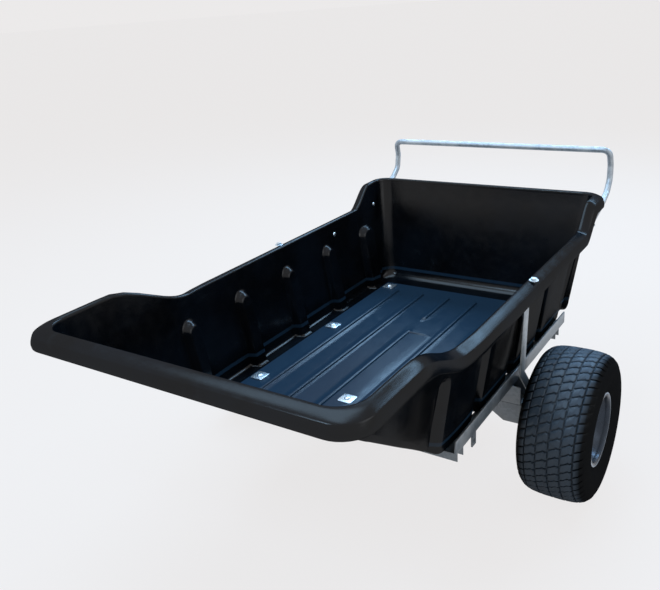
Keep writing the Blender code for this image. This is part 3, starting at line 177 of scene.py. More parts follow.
class FinishSheet:
    """The node sheet of one procedural material, with short ways to add its nodes."""

    def __init__(self, name: str) -> None:
        """Starts a material with a Principled shader and object coordinates.

        Args:
            name: The material's name.
        """
        self.material = bpy.data.materials.new(name)
        self.material.use_nodes = True
        self.tree = self.material.node_tree
        self.shader = self.tree.nodes["Principled BSDF"]
        self.place = self.add("ShaderNodeTexCoord").outputs["Object"]

    def add(self, kind: str, **settings: object) -> bpy.types.Node:
        """Adds a node.

        Args:
            kind: The node's type.
            settings: Properties that are set on it.

        Returns:
            The new node.
        """
        node = self.tree.nodes.new(kind)
        for key, value in settings.items():
            setattr(node, key, value)
        return node

    def link(self, source: bpy.types.NodeSocket, target: bpy.types.NodeSocket) -> None:
        """Joins an output to an input."""
        self.tree.links.new(source, target)

    def mapped(self, stretch: Sequence[float],
               offset: Sequence[float] = (0, 0, 0)) -> bpy.types.NodeSocket:
        """Object coordinates, moved and then stretched.

        Args:
            stretch: A factor along each axis.
            offset: How far the pattern's middle is from the origin.

        Returns:
            The coordinates.
        """
        move = self.add("ShaderNodeMapping")
        move.inputs["Location"].default_value = [-a * b for a, b in zip(offset, stretch)]
        move.inputs["Scale"].default_value = stretch
        self.link(self.place, move.inputs["Vector"])
        return move.outputs["Vector"]

    def noise(self, scale: float, detail: float = 4,
              stretch: Sequence[float] | None = None) -> bpy.types.NodeSocket:
        """A noise.

        Args:
            scale: How fine it is, in lumps to the metre.
            detail: How many finer layers it has.
            stretch: A factor along each axis, where it isn't even.

        Returns:
            The noise's value.
        """
        node = self.add("ShaderNodeTexNoise")
        node.inputs["Scale"].default_value = scale
        node.inputs["Detail"].default_value = detail
        self.link(self.mapped(stretch) if stretch else self.place, node.inputs["Vector"])
        return node.outputs["Fac"]

    def cells(self, scale: float) -> bpy.types.NodeSocket:
        """The random colour of each cell in a pattern of crystals, with so many cells to the metre."""
        node = self.add("ShaderNodeTexVoronoi")
        node.inputs["Scale"].default_value = scale
        self.link(self.place, node.inputs["Vector"])
        return node.outputs["Color"]

    def spread(self, source: bpy.types.NodeSocket, start: float, end: float,
               low: float, high: float) -> bpy.types.NodeSocket:
        """Maps one range of values smoothly onto another.

        Args:
            source: The value that is read.
            start: The value that becomes low.
            end: The value that becomes high.
            low: The result's first end.
            high: The result's other end.

        Returns:
            The mapped value.
        """
        node = self.add("ShaderNodeMapRange", interpolation_type="SMOOTHSTEP")
        for name, value in (("From Min", start), ("From Max", end), ("To Min", low), ("To Max", high)):
            node.inputs[name].default_value = value
        self.link(source, node.inputs["Value"])
        return node.outputs["Result"]

    def blend(self, share: bpy.types.NodeSocket, first: Colour | bpy.types.NodeSocket,
              second: Colour | bpy.types.NodeSocket) -> bpy.types.NodeSocket:
        """Blends two colours.

        Args:
            share: How much of the second colour there is.
            first: A colour, or an output that gives one.
            second: The other colour.

        Returns:
            The blended colour.
        """
        node = self.add("ShaderNodeMix", data_type="RGBA")
        self.link(share, node.inputs["Factor"])
        for name, colour in (("A", first), ("B", second)):
            socket = [found for found in node.inputs if found.name == name and found.type == "RGBA"][0]
            if isinstance(colour, tuple):
                socket.default_value = (*colour, 1)
            else:
                self.link(colour, socket)
        return [found for found in node.outputs if found.type == "RGBA"][0]

    def radius(self, centre: Sequence[float]) -> bpy.types.NodeSocket:
        """How far each point is from a wheel's axis, which lies along X through a centre."""
        node = self.add("ShaderNodeVectorMath", operation="LENGTH")
        self.link(self.mapped((0, 1, 1), centre), node.inputs[0])
        return node.outputs["Value"]

    def product(self, first: bpy.types.NodeSocket, second: bpy.types.NodeSocket) -> bpy.types.NodeSocket:
        """Two values multiplied."""
        node = self.add("ShaderNodeMath", operation="MULTIPLY")
        self.link(first, node.inputs[0])
        self.link(second, node.inputs[1])
        return node.outputs[0]

    def height(self) -> bpy.types.NodeSocket:
        """How high each point lies over the ground."""
        node = self.add("ShaderNodeSeparateXYZ")
        self.link(self.place, node.inputs[0])
        return node.outputs["Z"]

    def relief(self, source: bpy.types.NodeSocket, depth: float,
               below: bpy.types.NodeSocket | None = None) -> bpy.types.NodeSocket:
        """Bumps from a value.

        Args:
            source: The height, from 0 to 1.
            depth: How deep the full height is.
            below: The normal of a coarser relief that this one lies on.

        Returns:
            The bumped normal.
        """
        node = self.add("ShaderNodeBump")
        node.inputs["Strength"].default_value = 1
        node.inputs["Distance"].default_value = depth
        self.link(source, node.inputs["Height"])
        if below:
            self.link(below, node.inputs["Normal"])
        return node.outputs["Normal"]

    def dress(self, sockets: dict[str, object]) -> bpy.types.Material:
        """Sets the shader's sockets: an output is linked, and a plain value is written on the socket.

        Args:
            sockets: What each socket gets, by the socket's name.

        Returns:
            The finished material.
        """
        for name, value in sockets.items():
            socket = self.shader.inputs[name]
            if isinstance(value, bpy.types.NodeSocket):
                self.link(value, socket)
            else:
                socket.default_value = value
        return self.material


@dataclass(frozen=True)
class MouldedPlastic:
    """Black polyethylene: satin and uneven from the mould, with painted sky sheen: a paler, bluer colour on
    the top of its floor panel.

    The sheen band gives where, over the panel, the painted sheen's paler colour starts, is full, starts to
    fade and is gone.
    """

    deep: Colour = (0.0018, 0.0022, 0.0030)
    pale: Colour = (0.0038, 0.0056, 0.0085)
    dust: Colour = (0.014, 0.017, 0.021)
    rubbed: Colour = (0.014, 0.031, 0.053)
    floor_level: float = FLOOR_LEVEL
    rubbed_band: tuple[float, float, float, float] = (-0.006, -0.001, 0.006, 0.010)
    sheen_share: float = 0.07
    sheen_index: float = 3.5
    skin_depth: float = 0.00012
    ripple_depth: float = 0.0006

    def material(self) -> bpy.types.Material:
        """Makes the material."""
        sheet = FinishSheet("black_polyethylene_finish")
        clouds = sheet.noise(5, 5)
        scuffs = sheet.noise(26, 8, (1, 0.25, 1))
        skin = sheet.noise(900, 2)
        colour = sheet.blend(sheet.spread(clouds, 0.35, 0.7, 0, 1), self.deep, self.pale)
        colour = sheet.blend(sheet.spread(scuffs, 0.58, 0.78, 0, 0.35), colour, self.dust)
        height = sheet.height()
        # Painted sky sheen: a paler, bluer colour in a band at the floor panel's top
        start, full, fade, gone = [self.floor_level + step for step in self.rubbed_band]
        over = sheet.spread(height, start, full, 0, 1)
        under = sheet.spread(height, fade, gone, 1, 0)
        colour = sheet.blend(sheet.product(over, under), colour, self.rubbed)
        rough = sheet.spread(sheet.noise(34, 6), 0.3, 0.75, 0.14, 0.24)
        ripple = sheet.relief(sheet.noise(9, 2), self.ripple_depth)
        surface = sheet.relief(skin, self.skin_depth, ripple)
        return sheet.dress({"Base Color": colour, "Roughness": 0.5, "Specular IOR Level": 0,
                            "Coat Weight": self.sheen_share, "Coat IOR": self.sheen_index,
                            "Coat Roughness": rough, "Coat Normal": surface, "Normal": surface})


@dataclass(frozen=True)
class Galvanised:
    """Hot-dipped zinc on steel: dull grey with soft crystals and pale bloom, darker low down under the tub
    with painted shade.
    """

    dark: Colour = (0.34, 0.38, 0.42)
    light: Colour = (0.56, 0.61, 0.66)
    bloom: Colour = (0.64, 0.66, 0.67)
    grime: Colour = (0.075, 0.090, 0.105)
    grime_top: float = 0.40
    grime_fade: float = 0.07
    grime_share: float = 0.62
    crystals: float = 120
    metallic: float = 0.45
    grain_depth: float = 0.0001

    def material(self) -> bpy.types.Material:
        """Makes the material."""
        sheet = FinishSheet("galvanised_finish")
        crystal = sheet.cells(self.crystals)
        clouds = sheet.noise(14, 6)
        tone = sheet.blend(sheet.spread(crystal, 0.1, 0.9, 0, 0.55), self.dark, self.light)
        colour = sheet.blend(sheet.spread(clouds, 0.4, 0.68, 0, 0.8), tone, self.bloom)
        # Painted shade: below the shade top, under the tub, the steel is darkened towards a near-black grey
        low = sheet.spread(sheet.height(), self.grime_top - self.grime_fade, self.grime_top,
                           self.grime_share, 0)
        colour = sheet.blend(low, colour, self.grime)
        rough = sheet.spread(clouds, 0.3, 0.7, 0.36, 0.58)
        return sheet.dress({"Base Color": colour, "Metallic": self.metallic, "Roughness": rough,
                            "Normal": sheet.relief(sheet.noise(420, 3), self.grain_depth)})


@dataclass(frozen=True)
class ZincPlate:
    """Bright zinc plating on fasteners, with a faint warm cast in places."""

    cool: Colour = (0.56, 0.66, 0.75)
    warm: Colour = (0.70, 0.70, 0.66)
    metallic: float = 0.92

    def material(self) -> bpy.types.Material:
        """Makes the material."""
        sheet = FinishSheet("zinc_plated_finish")
        clouds = sheet.noise(60, 4)
        colour = sheet.blend(sheet.spread(clouds, 0.45, 0.75, 0, 0.6), self.cool, self.warm)
        rough = sheet.spread(sheet.noise(240, 5), 0.3, 0.7, 0.22, 0.38)
        return sheet.dress({"Base Color": colour, "Metallic": self.metallic, "Roughness": rough,
                            "Normal": sheet.relief(sheet.noise(900, 2), 0.00004)})


@dataclass(frozen=True)
class WheelPaint:
    """Dark grey wheel paint with fine flake, dusty in places, with a painted highlight: a bright bluish band
    on the flange.
    """

    centre: tuple[float, float, float]
    flange_radius: float
    flake_dark: Colour = (0.016, 0.022, 0.032)
    flake_light: Colour = (0.045, 0.060, 0.085)
    dust: Colour = (0.050, 0.045, 0.040)
    bright: Colour = (0.30, 0.38, 0.48)
    bright_band: Point2 = (0.008, 0.003)
    metallic: float = 0.6

    def material(self) -> bpy.types.Material:
        """Makes the material."""
        sheet = FinishSheet("rim_silver_finish")
        flake = sheet.noise(2600, 2)
        grime = sheet.noise(24, 7)
        colour = sheet.blend(sheet.spread(flake, 0.35, 0.65, 0, 1), self.flake_dark, self.flake_light)
        colour = sheet.blend(sheet.spread(grime, 0.52, 0.8, 0, 0.5), colour, self.dust)
        # Painted highlight: a bright bluish band just inside the flange's edge
        start, full = [self.flange_radius - inset for inset in self.bright_band]
        rubbed = sheet.spread(sheet.radius(self.centre), start, full, 0, 1)
        colour = sheet.blend(rubbed, colour, self.bright)
        rough = sheet.spread(grime, 0.3, 0.75, 0.26, 0.5)
        return sheet.dress({"Base Color": colour, "Metallic": self.metallic, "Roughness": rough,
                            "Normal": sheet.relief(sheet.noise(180, 3), 0.00006)})


@dataclass(frozen=True)
class TyreRubber:
    """Dull tyre rubber, shinier on the tread, with a fine grain and dust in the grooves; the tread's
    lighter, bluer colour is wear and painted sky sheen.
    """

    centre: tuple[float, float, float]
    tread_radius: float
    deep: Colour = (0.0035, 0.0040, 0.0048)
    worn: Colour = (0.066, 0.090, 0.120)
    dust: Colour = (0.045, 0.055, 0.066)
    worn_band: Point2 = (0.016, 0.003)
    tread_sheen: float = 0.07
    side_sheen: float = 0.02
    sheen_index: float = 3.5

    def material(self) -> bpy.types.Material:
        """Makes the material."""
        sheet = FinishSheet("tyre_rubber_finish")
        patches = sheet.noise(38, 6)
        start, full = [self.tread_radius - inset for inset in self.worn_band]
        worn = sheet.spread(sheet.radius(self.centre), start, full, 0, 1)
        # Wear and painted sky sheen: the tread gets a lighter, bluer colour than the sidewall
        colour = sheet.blend(worn, self.deep, self.worn)
        dusty = sheet.product(sheet.spread(patches, 0.5, 0.8, 0, 0.5), worn)
        colour = sheet.blend(dusty, colour, self.dust)
        rough = sheet.spread(patches, 0.3, 0.7, 0.28, 0.42)
        sheen = sheet.spread(worn, 0, 1, self.side_sheen, self.tread_sheen)
        grain = sheet.relief(sheet.noise(700, 4), 0.0002)
        return sheet.dress({"Base Color": colour, "Roughness": 0.8, "Specular IOR Level": 0,
                            "Coat Weight": sheen, "Coat IOR": self.sheen_index, "Coat Roughness": rough,
                            "Coat Normal": grain, "Normal": grain})


@dataclass(frozen=True)
class PlainRubber:
    """Matt black rubber, for the saddle's pad and the valves."""

    dark: Colour = (0.012, 0.012, 0.012)
    light: Colour = (0.035, 0.035, 0.036)

    def material(self) -> bpy.types.Material:
        """Makes the material."""
        sheet = FinishSheet("pad_rubber_finish")
        patches = sheet.noise(90, 5)
        colour = sheet.blend(sheet.spread(patches, 0.4, 0.75, 0, 1), self.dark, self.light)
        return sheet.dress({"Base Color": colour, "Roughness": sheet.spread(patches, 0.3, 0.7, 0.7, 0.88),
                            "Normal": sheet.relief(sheet.noise(600, 3), 0.0002)})


@dataclass(frozen=True)
class GroundSteel:
    """Bare ground steel with fine turning lines, on the bearings."""

    dark: Colour = (0.42, 0.43, 0.45)
    light: Colour = (0.58, 0.59, 0.60)

    def material(self) -> bpy.types.Material:
        """Makes the material."""
        sheet = FinishSheet("bearing_steel_finish")
        lines = sheet.noise(60, 4, (30, 1, 1))
        colour = sheet.blend(sheet.spread(lines, 0.35, 0.7, 0, 1), self.dark, self.light)
        return sheet.dress({"Base Color": colour, "Metallic": 1.0,
                            "Roughness": sheet.spread(lines, 0.3, 0.7, 0.18, 0.34)})


# The workshop: turns bmeshes into finished pieces on their bodies


class Workshop:
    """Holds the frame and the finishes, and puts each finished piece on its body."""

    def __init__(self, frame: dict[str, object]) -> None:
        """Reads where the trailer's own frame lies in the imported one.
        """
        self.nodes = frame["nodes"]
        self.bodies = {node: body for body, nodes in frame["record"]["behaviour"]["bodies"].items()
                       for node in nodes}
        low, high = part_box("axle_beam")
        self.axle_y = (low.y + high.y) / 2
        self.finishes: dict[str, bpy.types.Material] = {}

    def finish(self, name: str, bm: bmesh.types.BMesh, slot: str, nodes: Sequence[str],
               body: str = "", sharp: float = 40, all_smooth: bool = True) -> bpy.types.Object:
        """Turns a bmesh into a piece that rides on a body and stands for CAD nodes.

        Args:
            name: The piece's name.
            bm: The shape, in the trailer's own frame. It is freed.
            slot: The material slot that the finish belongs to.
            nodes: The CAD nodes that the piece replaces.
            body: The body that it rides on, where it replaces no node.
            sharp: Edges turned further than this many degrees stay crisp.
            all_smooth: Whether every face is smooth, or only those already marked so.

        Returns:
            The finished piece.
        """
        bmesh.ops.translate(bm, verts=bm.verts, vec=(0, self.axle_y, 0))
        mesh = bpy.data.meshes.new(name)
        bm.to_mesh(mesh)
        bm.free()
        if all_smooth:
            mesh.shade_smooth()
        mesh.set_sharp_from_angle(angle=math.radians(sharp))
        mesh.materials.append(self.finishes[slot])
        piece = bpy.data.objects.new(name, mesh)
        bpy.context.scene.collection.objects.link(piece)
        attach(piece, body or self.bodies[nodes[0]])
        if nodes:
            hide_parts(*nodes)
        LOG.info("%s: %d faces", name, len(mesh.polygons))
        return piece

    def softened(self, node: str, slot: str, width: float, segments: int = 2) -> bpy.types.Object:
        """A copy of a CAD node with its long edges rounded, as rolled and folded steel has.

        Args:
            node: The CAD node that the copy stands for.
            slot: Its material slot.
            width: How wide each rounding is.
            segments: How many faces go round it.

        Returns:
            The finished piece.
        """
        bm = bmesh.new()
        bm.from_mesh(self.nodes[node].data)
        bmesh.ops.remove_doubles(bm, verts=bm.verts, dist=0.00002)
        bmesh.ops.dissolve_limit(bm, angle_limit=math.radians(1.5), verts=bm.verts, edges=bm.edges)
        for face in bm.faces:
            face.smooth = False
        edges = [edge for edge in bm.edges if len(edge.link_faces) == 2
                 and edge.calc_face_angle() > math.radians(32) and edge.calc_length() > width * 5]
        if edges:
            for face in round_edges(bm, edges, width, segments, clamped=True):
                face.smooth = True
        bmesh.ops.translate(bm, verts=bm.verts, vec=(0, -self.axle_y, 0))
        return self.finish(f"{node}_formed", bm, slot, [node], sharp=60, all_smooth=False)

    def dress_node(self, node: str, slot: str) -> None:
        """Gives a CAD node that stays as it is a finish.

        Args:
            node: The CAD node.
            slot: Its material slot.
        """
        for holder in self.nodes[node].material_slots:
            holder.material = self.finishes[slot]


def round_edges(bm: bmesh.types.BMesh, edges: Sequence[bmesh.types.BMEdge], width: float,
                segments: int, clamped: bool = False) -> list[bmesh.types.BMFace]:
    """Rounds edges evenly.

    Args:
        bm: The shape.
        edges: The edges.
        width: How wide each rounding is.
        segments: How many faces go round it.
        clamped: Whether roundings that would meet are held back.

    Returns:
        The new faces.
    """
    return bmesh.ops.bevel(bm, geom=edges, offset=width, offset_type="OFFSET", affect="EDGES",
                           segments=segments, profile=0.5, material=-1, clamp_overlap=clamped)["faces"]


def spun(profile: Sequence[Point2], centre: Vector, out: int, steps: int,
         closed: bool) -> bmesh.types.BMesh:
    """A profile turned about an axis along X.

    Args:
        profile: Points as (radius, distance outwards from the centre).
        centre: The middle of the wheel.
        out: The sign of X on the outer side.
        steps: How many pieces the turn has.
        closed: Whether the profile is a closed loop.

    Returns:
        The turned shape, with its faces pointing outwards.
    """
    bm = bmesh.new()
    verts = [bm.verts.new(centre + Vector((out * along, 0, radius))) for radius, along in profile]
    pairs = list(zip(verts, verts[1:])) + ([(verts[-1], verts[0])] if closed else [])
    edges = [bm.edges.new(pair) for pair in pairs]
    bmesh.ops.spin(bm, geom=verts + edges, cent=centre, axis=(1, 0, 0), dvec=(0, 0, 0),
                   angle=2 * math.pi, steps=steps, use_merge=True)
    bmesh.ops.remove_doubles(bm, verts=bm.verts, dist=0.00001)
    bmesh.ops.recalc_face_normals(bm, faces=bm.faces)
    return bm


def add_turned(bm: bmesh.types.BMesh, profile: Sequence[Point2], place: Matrix, steps: int = 24) -> None:
    """Adds an open (radius, height) profile turned about Z, from axis to axis.

    Args:
        bm: What the shape is added to.
        profile: The points of the outline.
        place: Where the shape goes.
        steps: How many pieces the turn has.
    """
    part = bmesh.new()
    verts = [part.verts.new((radius, 0, height)) for radius, height in profile]
    edges = [part.edges.new(pair) for pair in zip(verts, verts[1:])]
    bmesh.ops.spin(part, geom=verts + edges, cent=(0, 0, 0), axis=(0, 0, 1), dvec=(0, 0, 0),
                   angle=2 * math.pi, steps=steps, use_merge=True)
    bmesh.ops.remove_doubles(part, verts=part.verts, dist=0.000005)
    bmesh.ops.recalc_face_normals(part, faces=part.faces)
    join_into(bm, part, place)


def join_into(bm: bmesh.types.BMesh, part: bmesh.types.BMesh, place: Matrix) -> None:
    """Moves one bmesh into another and frees it."""
    bmesh.ops.transform(part, matrix=place, verts=part.verts)
    mesh = bpy.data.meshes.new("part")
    part.to_mesh(mesh)
    part.free()
    bm.from_mesh(mesh)
    bpy.data.meshes.remove(mesh)


def add_hexagon(bm: bmesh.types.BMesh, place: Matrix, radius: float, height: float) -> None:
    """Adds a nut or bolt head that stands on its seat, with its upper corners chamfered.

    Args:
        bm: What it is added to.
        place: Where its seat is, with +Z out of it.
        radius: From the middle to a corner.
        height: How high it stands.
    """
    part = bmesh.new()
    bmesh.ops.create_cone(part, cap_ends=True, segments=6, radius1=radius, radius2=radius, depth=height,
                          matrix=Matrix.Translation((0, 0, height / 2)))
    top = [edge for edge in part.edges if all(vert.co.z > height * 0.9 for vert in edge.verts)]
    round_edges(part, top, radius * 0.12, 2)
    join_into(bm, part, place)


def formed_grid(across: int, along: int, place: Callable[[int, int], Vector]) -> bmesh.types.BMesh:
    """A sheet of quads, each of whose corners is put in its place.

    Args:
        across: The number of corners in a row.
        along: The number of rows.
        place: Gives the place of a corner from its number in the row and its row.

    Returns:
        The sheet.
    """
    bm = bmesh.new()
    bmesh.ops.create_grid(bm, x_segments=across - 1, y_segments=along - 1, size=1)
    for vert in bm.verts:
        column = round((vert.co.x + 1) / 2 * (across - 1))
        row = round((vert.co.y + 1) / 2 * (along - 1))
        vert.co = place(column, row)
    return bm


# The tub


@dataclass
class Station:
    """Where the tub's wall stands at one place: its foot, the rim's two edges, and which way it faces."""

    foot: Vector
    inner: Vector
    outer: Vector
    facing: Vector
    fillet: float

    def narrowed(self, x: float) -> "Station":
        """The same section straight across an end of the tub, above a column of the floor."""
        share = x / self.foot.x
        inner_x = self.inner.x * share
        return Station(Vector((x, self.foot.y, self.foot.z)), Vector((inner_x, self.inner.y, self.inner.z)),
                       Vector((inner_x, self.outer.y, self.outer.z)), self.facing, self.fillet)


@dataclass
class Tub:
    """The moulded tub: floor with beads, gutter, pillared walls, rolled rim, raised front and pouring lip.

    Heights are over the floor panel's top. The rim's form is given as shares of its width, from the inner
    edge, and drops below its crown.
    """

    shop: Workshop
    floor_level: float = FLOOR_LEVEL
    wall: float = 0.005
    panel_half: float = 0.296
    panel_step: float = 0.009
    panel_ends: Point2 = (-0.476, 0.478)
    panel_end_step: float = 0.012
    gutter: float = 0.0376
    draft: float = 0.153
    side_crown: float = 0.286
    lip_crown: float = 0.375
    front_crown: float = 0.369
    edge_drop: float = 0.014
    skirt: float = 0.044
    rim_half: float = 0.477
    rim_width: float = 0.042
    rim_form: tuple[Point2, ...] = (
        (0.035, 0.0050), (0.11, 0.0013), (0.24, 0.0), (0.40, 0.0012), (0.56, 0.0040), (0.72, 0.0080),
        (0.83, 0.0115), (0.870, 0.0135), (0.900, 0.0170), (0.955, 0.0250), (1.0, 0.0340))
    skirt_tuck: float = 0.985
    valley_dip: float = 0.010
    valley_span: Point2 = (-0.40, -0.55)
    crest_flare: float = 0.021
    flare_span: Point2 = (-0.58, -0.75)
    lip_rise: Point2 = (-0.48, -0.76)
    front_rise: Point2 = (0.485, 0.605)
    chute_start: float = -0.472
    chute_slope: float = 0.715
    chute_round: float = 0.006
    lip_rear: float = -1.0187
    lip_inner: float = -0.971
    lip_foot: float = -0.955
    lip_corner_x: float = 0.378
    lip_rounds: tuple[float, float, float] = (0.060, 0.068, 0.075)
    front_outer: float = 0.736
    front_inner: float = 0.705
    front_foot: float = 0.630
    front_corner_x: float = 0.335
    inner_round: float = 0.045
    outer_round: float = 0.056
    side_foot_end: float = 0.575
    lean_start: float = 0.450
    pillar_first: float = -0.520
    pillar_pitch: float = 0.255
    pillar_count: int = 5
    pillar_half: float = 0.036
    pillar_round: float = 0.016
    pillar_depth: float = 0.027
    pillar_top_depth: float = 0.020
    pillar_top: float = 0.214
    pillar_turn: Point2 = (0.150, 0.218)
    bead_pitch: float = 0.1075
    bead_count: int = 3
    bead_half: float = 0.009
    bead_flank: float = 0.42
    bead_height: float = 0.0062
    bead_front: float = 0.412
    bead_fade: Point2 = (-0.010, 0.004)
    bead_break: Point2 = (0.094, 0.206)
    pad_side: float = 0.085
    pad_height: float = 0.0018
    cross_bead_y: float = 0.083
    side_fillet: float = 0.015
    front_fillet: float = 0.034
    lip_fillet: float = 0.012
    fillet_steps: int = 5
    wall_steps: tuple[int, int, int] = (4, 11, 3)
    corner_steps: int = 9
    rim_steps: int = 3

    # The form along the trailer

    def half_width(self, y: float) -> float:
        """Half the width over the rim, drawn in where the rim starts to rise and flared at the lip."""
        return (self.rim_half - self.valley_dip * ease(y, *self.valley_span)
                + self.crest_flare * ease(y, *self.flare_span))

    def crown(self, y: float) -> float:
        """The rim's top, which rises in an S to the lip and in a short ramp to the front."""
        return (self.side_crown + (self.lip_crown - self.side_crown) * ease(y, *self.lip_rise)
                + (self.front_crown - self.side_crown) * ease(y, *self.front_rise))

    def base(self, y: float) -> float:
        """The gutter's level, and behind it the slope that the load is poured over."""
        past = self.chute_start - y
        return -self.gutter + self.chute_slope * (past + math.hypot(past, self.chute_round)) / 2

    def slope(self, y: float) -> float:
        """How fast the base rises towards the rear."""
        past = self.chute_start - y
        return self.chute_slope * (1 + past / math.hypot(past, self.chute_round)) / 2

    def pillars(self) -> list[float]:
        """The middle of each pillar, from the rear."""
        return [self.pillar_first + self.pillar_pitch * number for number in range(self.pillar_count)]

    def pillar_bulge(self, y: float, z: float) -> float:
        """How far a round-topped pillar stands out of the wall.

        Args:
            y: The place along the wall's foot.
            z: The height over the floor panel.

        Returns:
            The distance inwards from the plain wall.
        """
        off = min(abs(y - middle) for middle in self.pillars())
        dome = self.pillar_top - self.pillar_half
        inside = self.pillar_half - (math.hypot(off, z - dome) if z > dome else off)
        shallower = (self.pillar_top_depth - self.pillar_depth) * ease(z, 0, self.pillar_top)
        return (self.pillar_depth + shallower) * ease(inside, 0, self.pillar_round)

    def floor(self, x: float, y: float) -> float:
        """The height of the floor: a panel with rounded steps and beads, above the gutter and the chute."""
        rear, front = self.panel_ends
        step = self.panel_end_step
        on_panel = 1 - ease(abs(x), self.panel_half, self.panel_half + self.panel_step)
        on_panel *= ease(y, rear - step, rear) * (1 - ease(y, front, front + step))
        base = self.base(y)
        return base - base * on_panel + self.bead(abs(x), y) * on_panel

    def bead(self, x: float, y: float) -> float:
        """The height of the five long beads, the middle one of which is broken near the front."""
        from_crest = min(abs(x - self.bead_pitch * number) for number in range(self.bead_count))
        height = ease(self.bead_half - from_crest, 0, self.bead_half * self.bead_flank)
        fade, gone = self.bead_fade
        height *= 1 - ease(y, self.bead_front + fade, self.bead_front + gone)
        if x < self.bead_pitch / 2:
            start, end = self.bead_break
            height *= 1 - ease(y, start - 0.006, start + 0.006) * (1 - ease(y, end + fade, end + gone))
        return self.bead_height * height

    def extra_bead(self, x: float, y: float) -> float:
        """The low pad right of the middle bead, closed in front by a bead that turns across it."""
        start = self.panel_ends[0]
        on_pad = ease(x, -0.004, 0.004) * (1 - ease(x, self.pad_side - 0.005, self.pad_side + 0.003))
        on_pad *= 1 - ease(y, self.cross_bead_y - 0.004, self.cross_bead_y + 0.004)
        on_pad *= ease(y, start, start + 0.01)
        across = ease(self.bead_half - abs(y - self.cross_bead_y), 0, self.bead_half * 0.8)
        across *= ease(x, -0.006, 0.010) * (1 - ease(x, self.pad_side - 0.014, self.pad_side - 0.002))
        return max(self.pad_height * on_pad, self.bead_height * across)

    # Where the form is sampled

    def columns(self) -> list[float]:
        """The places across half the floor: close together on the beads and on the panel's step."""
        places = [0.0]
        for number in range(self.bead_count):
            for share in (-1.03, -0.9, -0.78, -0.66, -0.56, 0, 0.56, 0.66, 0.78, 0.9, 1.03):
                places.append(self.bead_pitch * number + self.bead_half * share)
        places += [self.pad_side + off for off in (-0.006, -0.002, 0.003)]
        places += [0.03, 0.055, 0.135, 0.160, 0.185, 0.245, 0.272]
        places += [self.panel_half + self.panel_step * share for share in (-0.4, 0, 0.2, 0.4, 0.6, 0.8, 1)]
        return sorted({round(place, 5) for place in places if place >= 0})

    def rows(self) -> list[float]:
        """The places along the side: close together on the pillars and the steps of the floor."""
        rear, front = self.panel_ends
        step = self.panel_end_step
        places = [self.lip_foot + 0.085 + 0.042 * number for number in range(8)]
        for middle in self.pillars():
            for off in (0.0, 0.005, 0.010, 0.015, 0.019, 0.022, 0.025, 0.028, 0.031, 0.034, 0.037):
                places += [middle - off, middle + off]
            places += [middle + 0.072, middle + 0.127, middle + 0.182]
        places += [self.chute_start + off for off in (-0.012, -0.006, 0, 0.006, 0.012)]
        places += [rear - step * share for share in (0, 0.25, 0.5, 0.75, 1)] + [rear + 0.006, rear + 0.012]
        places += [front + step * share for share in (0, 0.25, 0.5, 0.75, 1)]
        places += [self.bead_front + off for off in (-0.010, -0.006, -0.003, 0, 0.004)]
        for bound in self.bead_break:
            places += [bound + off for off in (-0.010, -0.005, 0, 0.005)]
        places += [self.cross_bead_y + off
                   for off in (-0.009, -0.0065, -0.004, -0.002, 0, 0.002, 0.004, 0.0065, 0.009)]
        kept = [place for place in places if self.lip_foot + 0.05 < place < self.side_foot_end - 0.002]
        spaced = []
        for place in sorted(kept):
            if not spaced or place - spaced[-1] > 0.0014:
                spaced.append(place)
        return spaced

    def side_station(self, y: float) -> Station:
        """The wall at one place along the side. Near the front, the rim runs further than the foot."""
        lean = max(y - self.lean_start, 0) / (self.side_foot_end - self.lean_start)
        rim_y = y + lean * (self.front_inner - self.inner_round - self.side_foot_end)
        outer_y = y + lean * (self.front_outer - self.outer_round - self.side_foot_end)
        outer_x = self.half_width(rim_y)
        inner_x = outer_x - self.rim_width
        edge = self.crown(rim_y) - self.edge_drop
        foot_z = self.base(y)
        foot_x = inner_x - (edge - foot_z) * self.draft
        return Station(Vector((foot_x, y, foot_z)), Vector((inner_x, rim_y, edge)),
                       Vector((outer_x, outer_y, edge)), Vector((1, 0, 0)), self.side_fillet)

    def corner(self, circles: Sequence[tuple[Point2, float]], start: float, end: float,
               fillets: Point2, settled: Point2) -> list[Station]:
        """Stations round a corner of the tub.

        Args:
            circles: The centre and radius of the foot's, the inner edge's and the outer edge's arc.
            start: The first angle, in degrees from X.
            end: The last angle.
            fillets: The fillet at the wall's foot at both angles.
            settled: Between which shares of the turn the fillet changes.

        Returns:
            The stations, in order.
        """
        stations = []
        for step in range(self.corner_steps + 1):
            share = step / self.corner_steps
            turn = math.radians(start + (end - start) * share)
            facing = Vector((math.cos(turn), math.sin(turn), 0))
            foot, inner, outer = [Vector((*centre, 0)) + facing * radius for centre, radius in circles]
            foot.z = self.base(foot.y)
            inner.z = outer.z = self.crown(inner.y) - self.edge_drop
            fillet = fillets[0] + (fillets[1] - fillets[0]) * ease(share, *settled)
            stations.append(Station(foot, inner, outer, facing, fillet))
        return stations

    def stations(self) -> list[Station]:
        """The wall's stations along the right half, from the lip's corner to the front's."""
        foot, inner, outer = self.lip_rounds
        rear = (((self.lip_corner_x, self.lip_foot + foot), foot),
                ((self.lip_corner_x, self.lip_inner + inner), inner),
                ((self.half_width(self.lip_rear) - outer, self.lip_rear + outer), outer))
        inner, outer = self.inner_round, self.outer_round
        front = (((self.front_corner_x, self.side_foot_end), self.front_foot - self.side_foot_end),
                 ((self.rim_half - self.rim_width - inner, self.front_inner - inner), inner),
                 ((self.rim_half - outer, self.front_outer - outer), outer))
        return (self.corner(rear, -90, 0, (self.lip_fillet, self.side_fillet), (0.35, 0.95))
                + [self.side_station(y) for y in self.rows()]
                + self.corner(front, 0, 90, (self.side_fillet, self.front_fillet), (0.05, 0.65)))

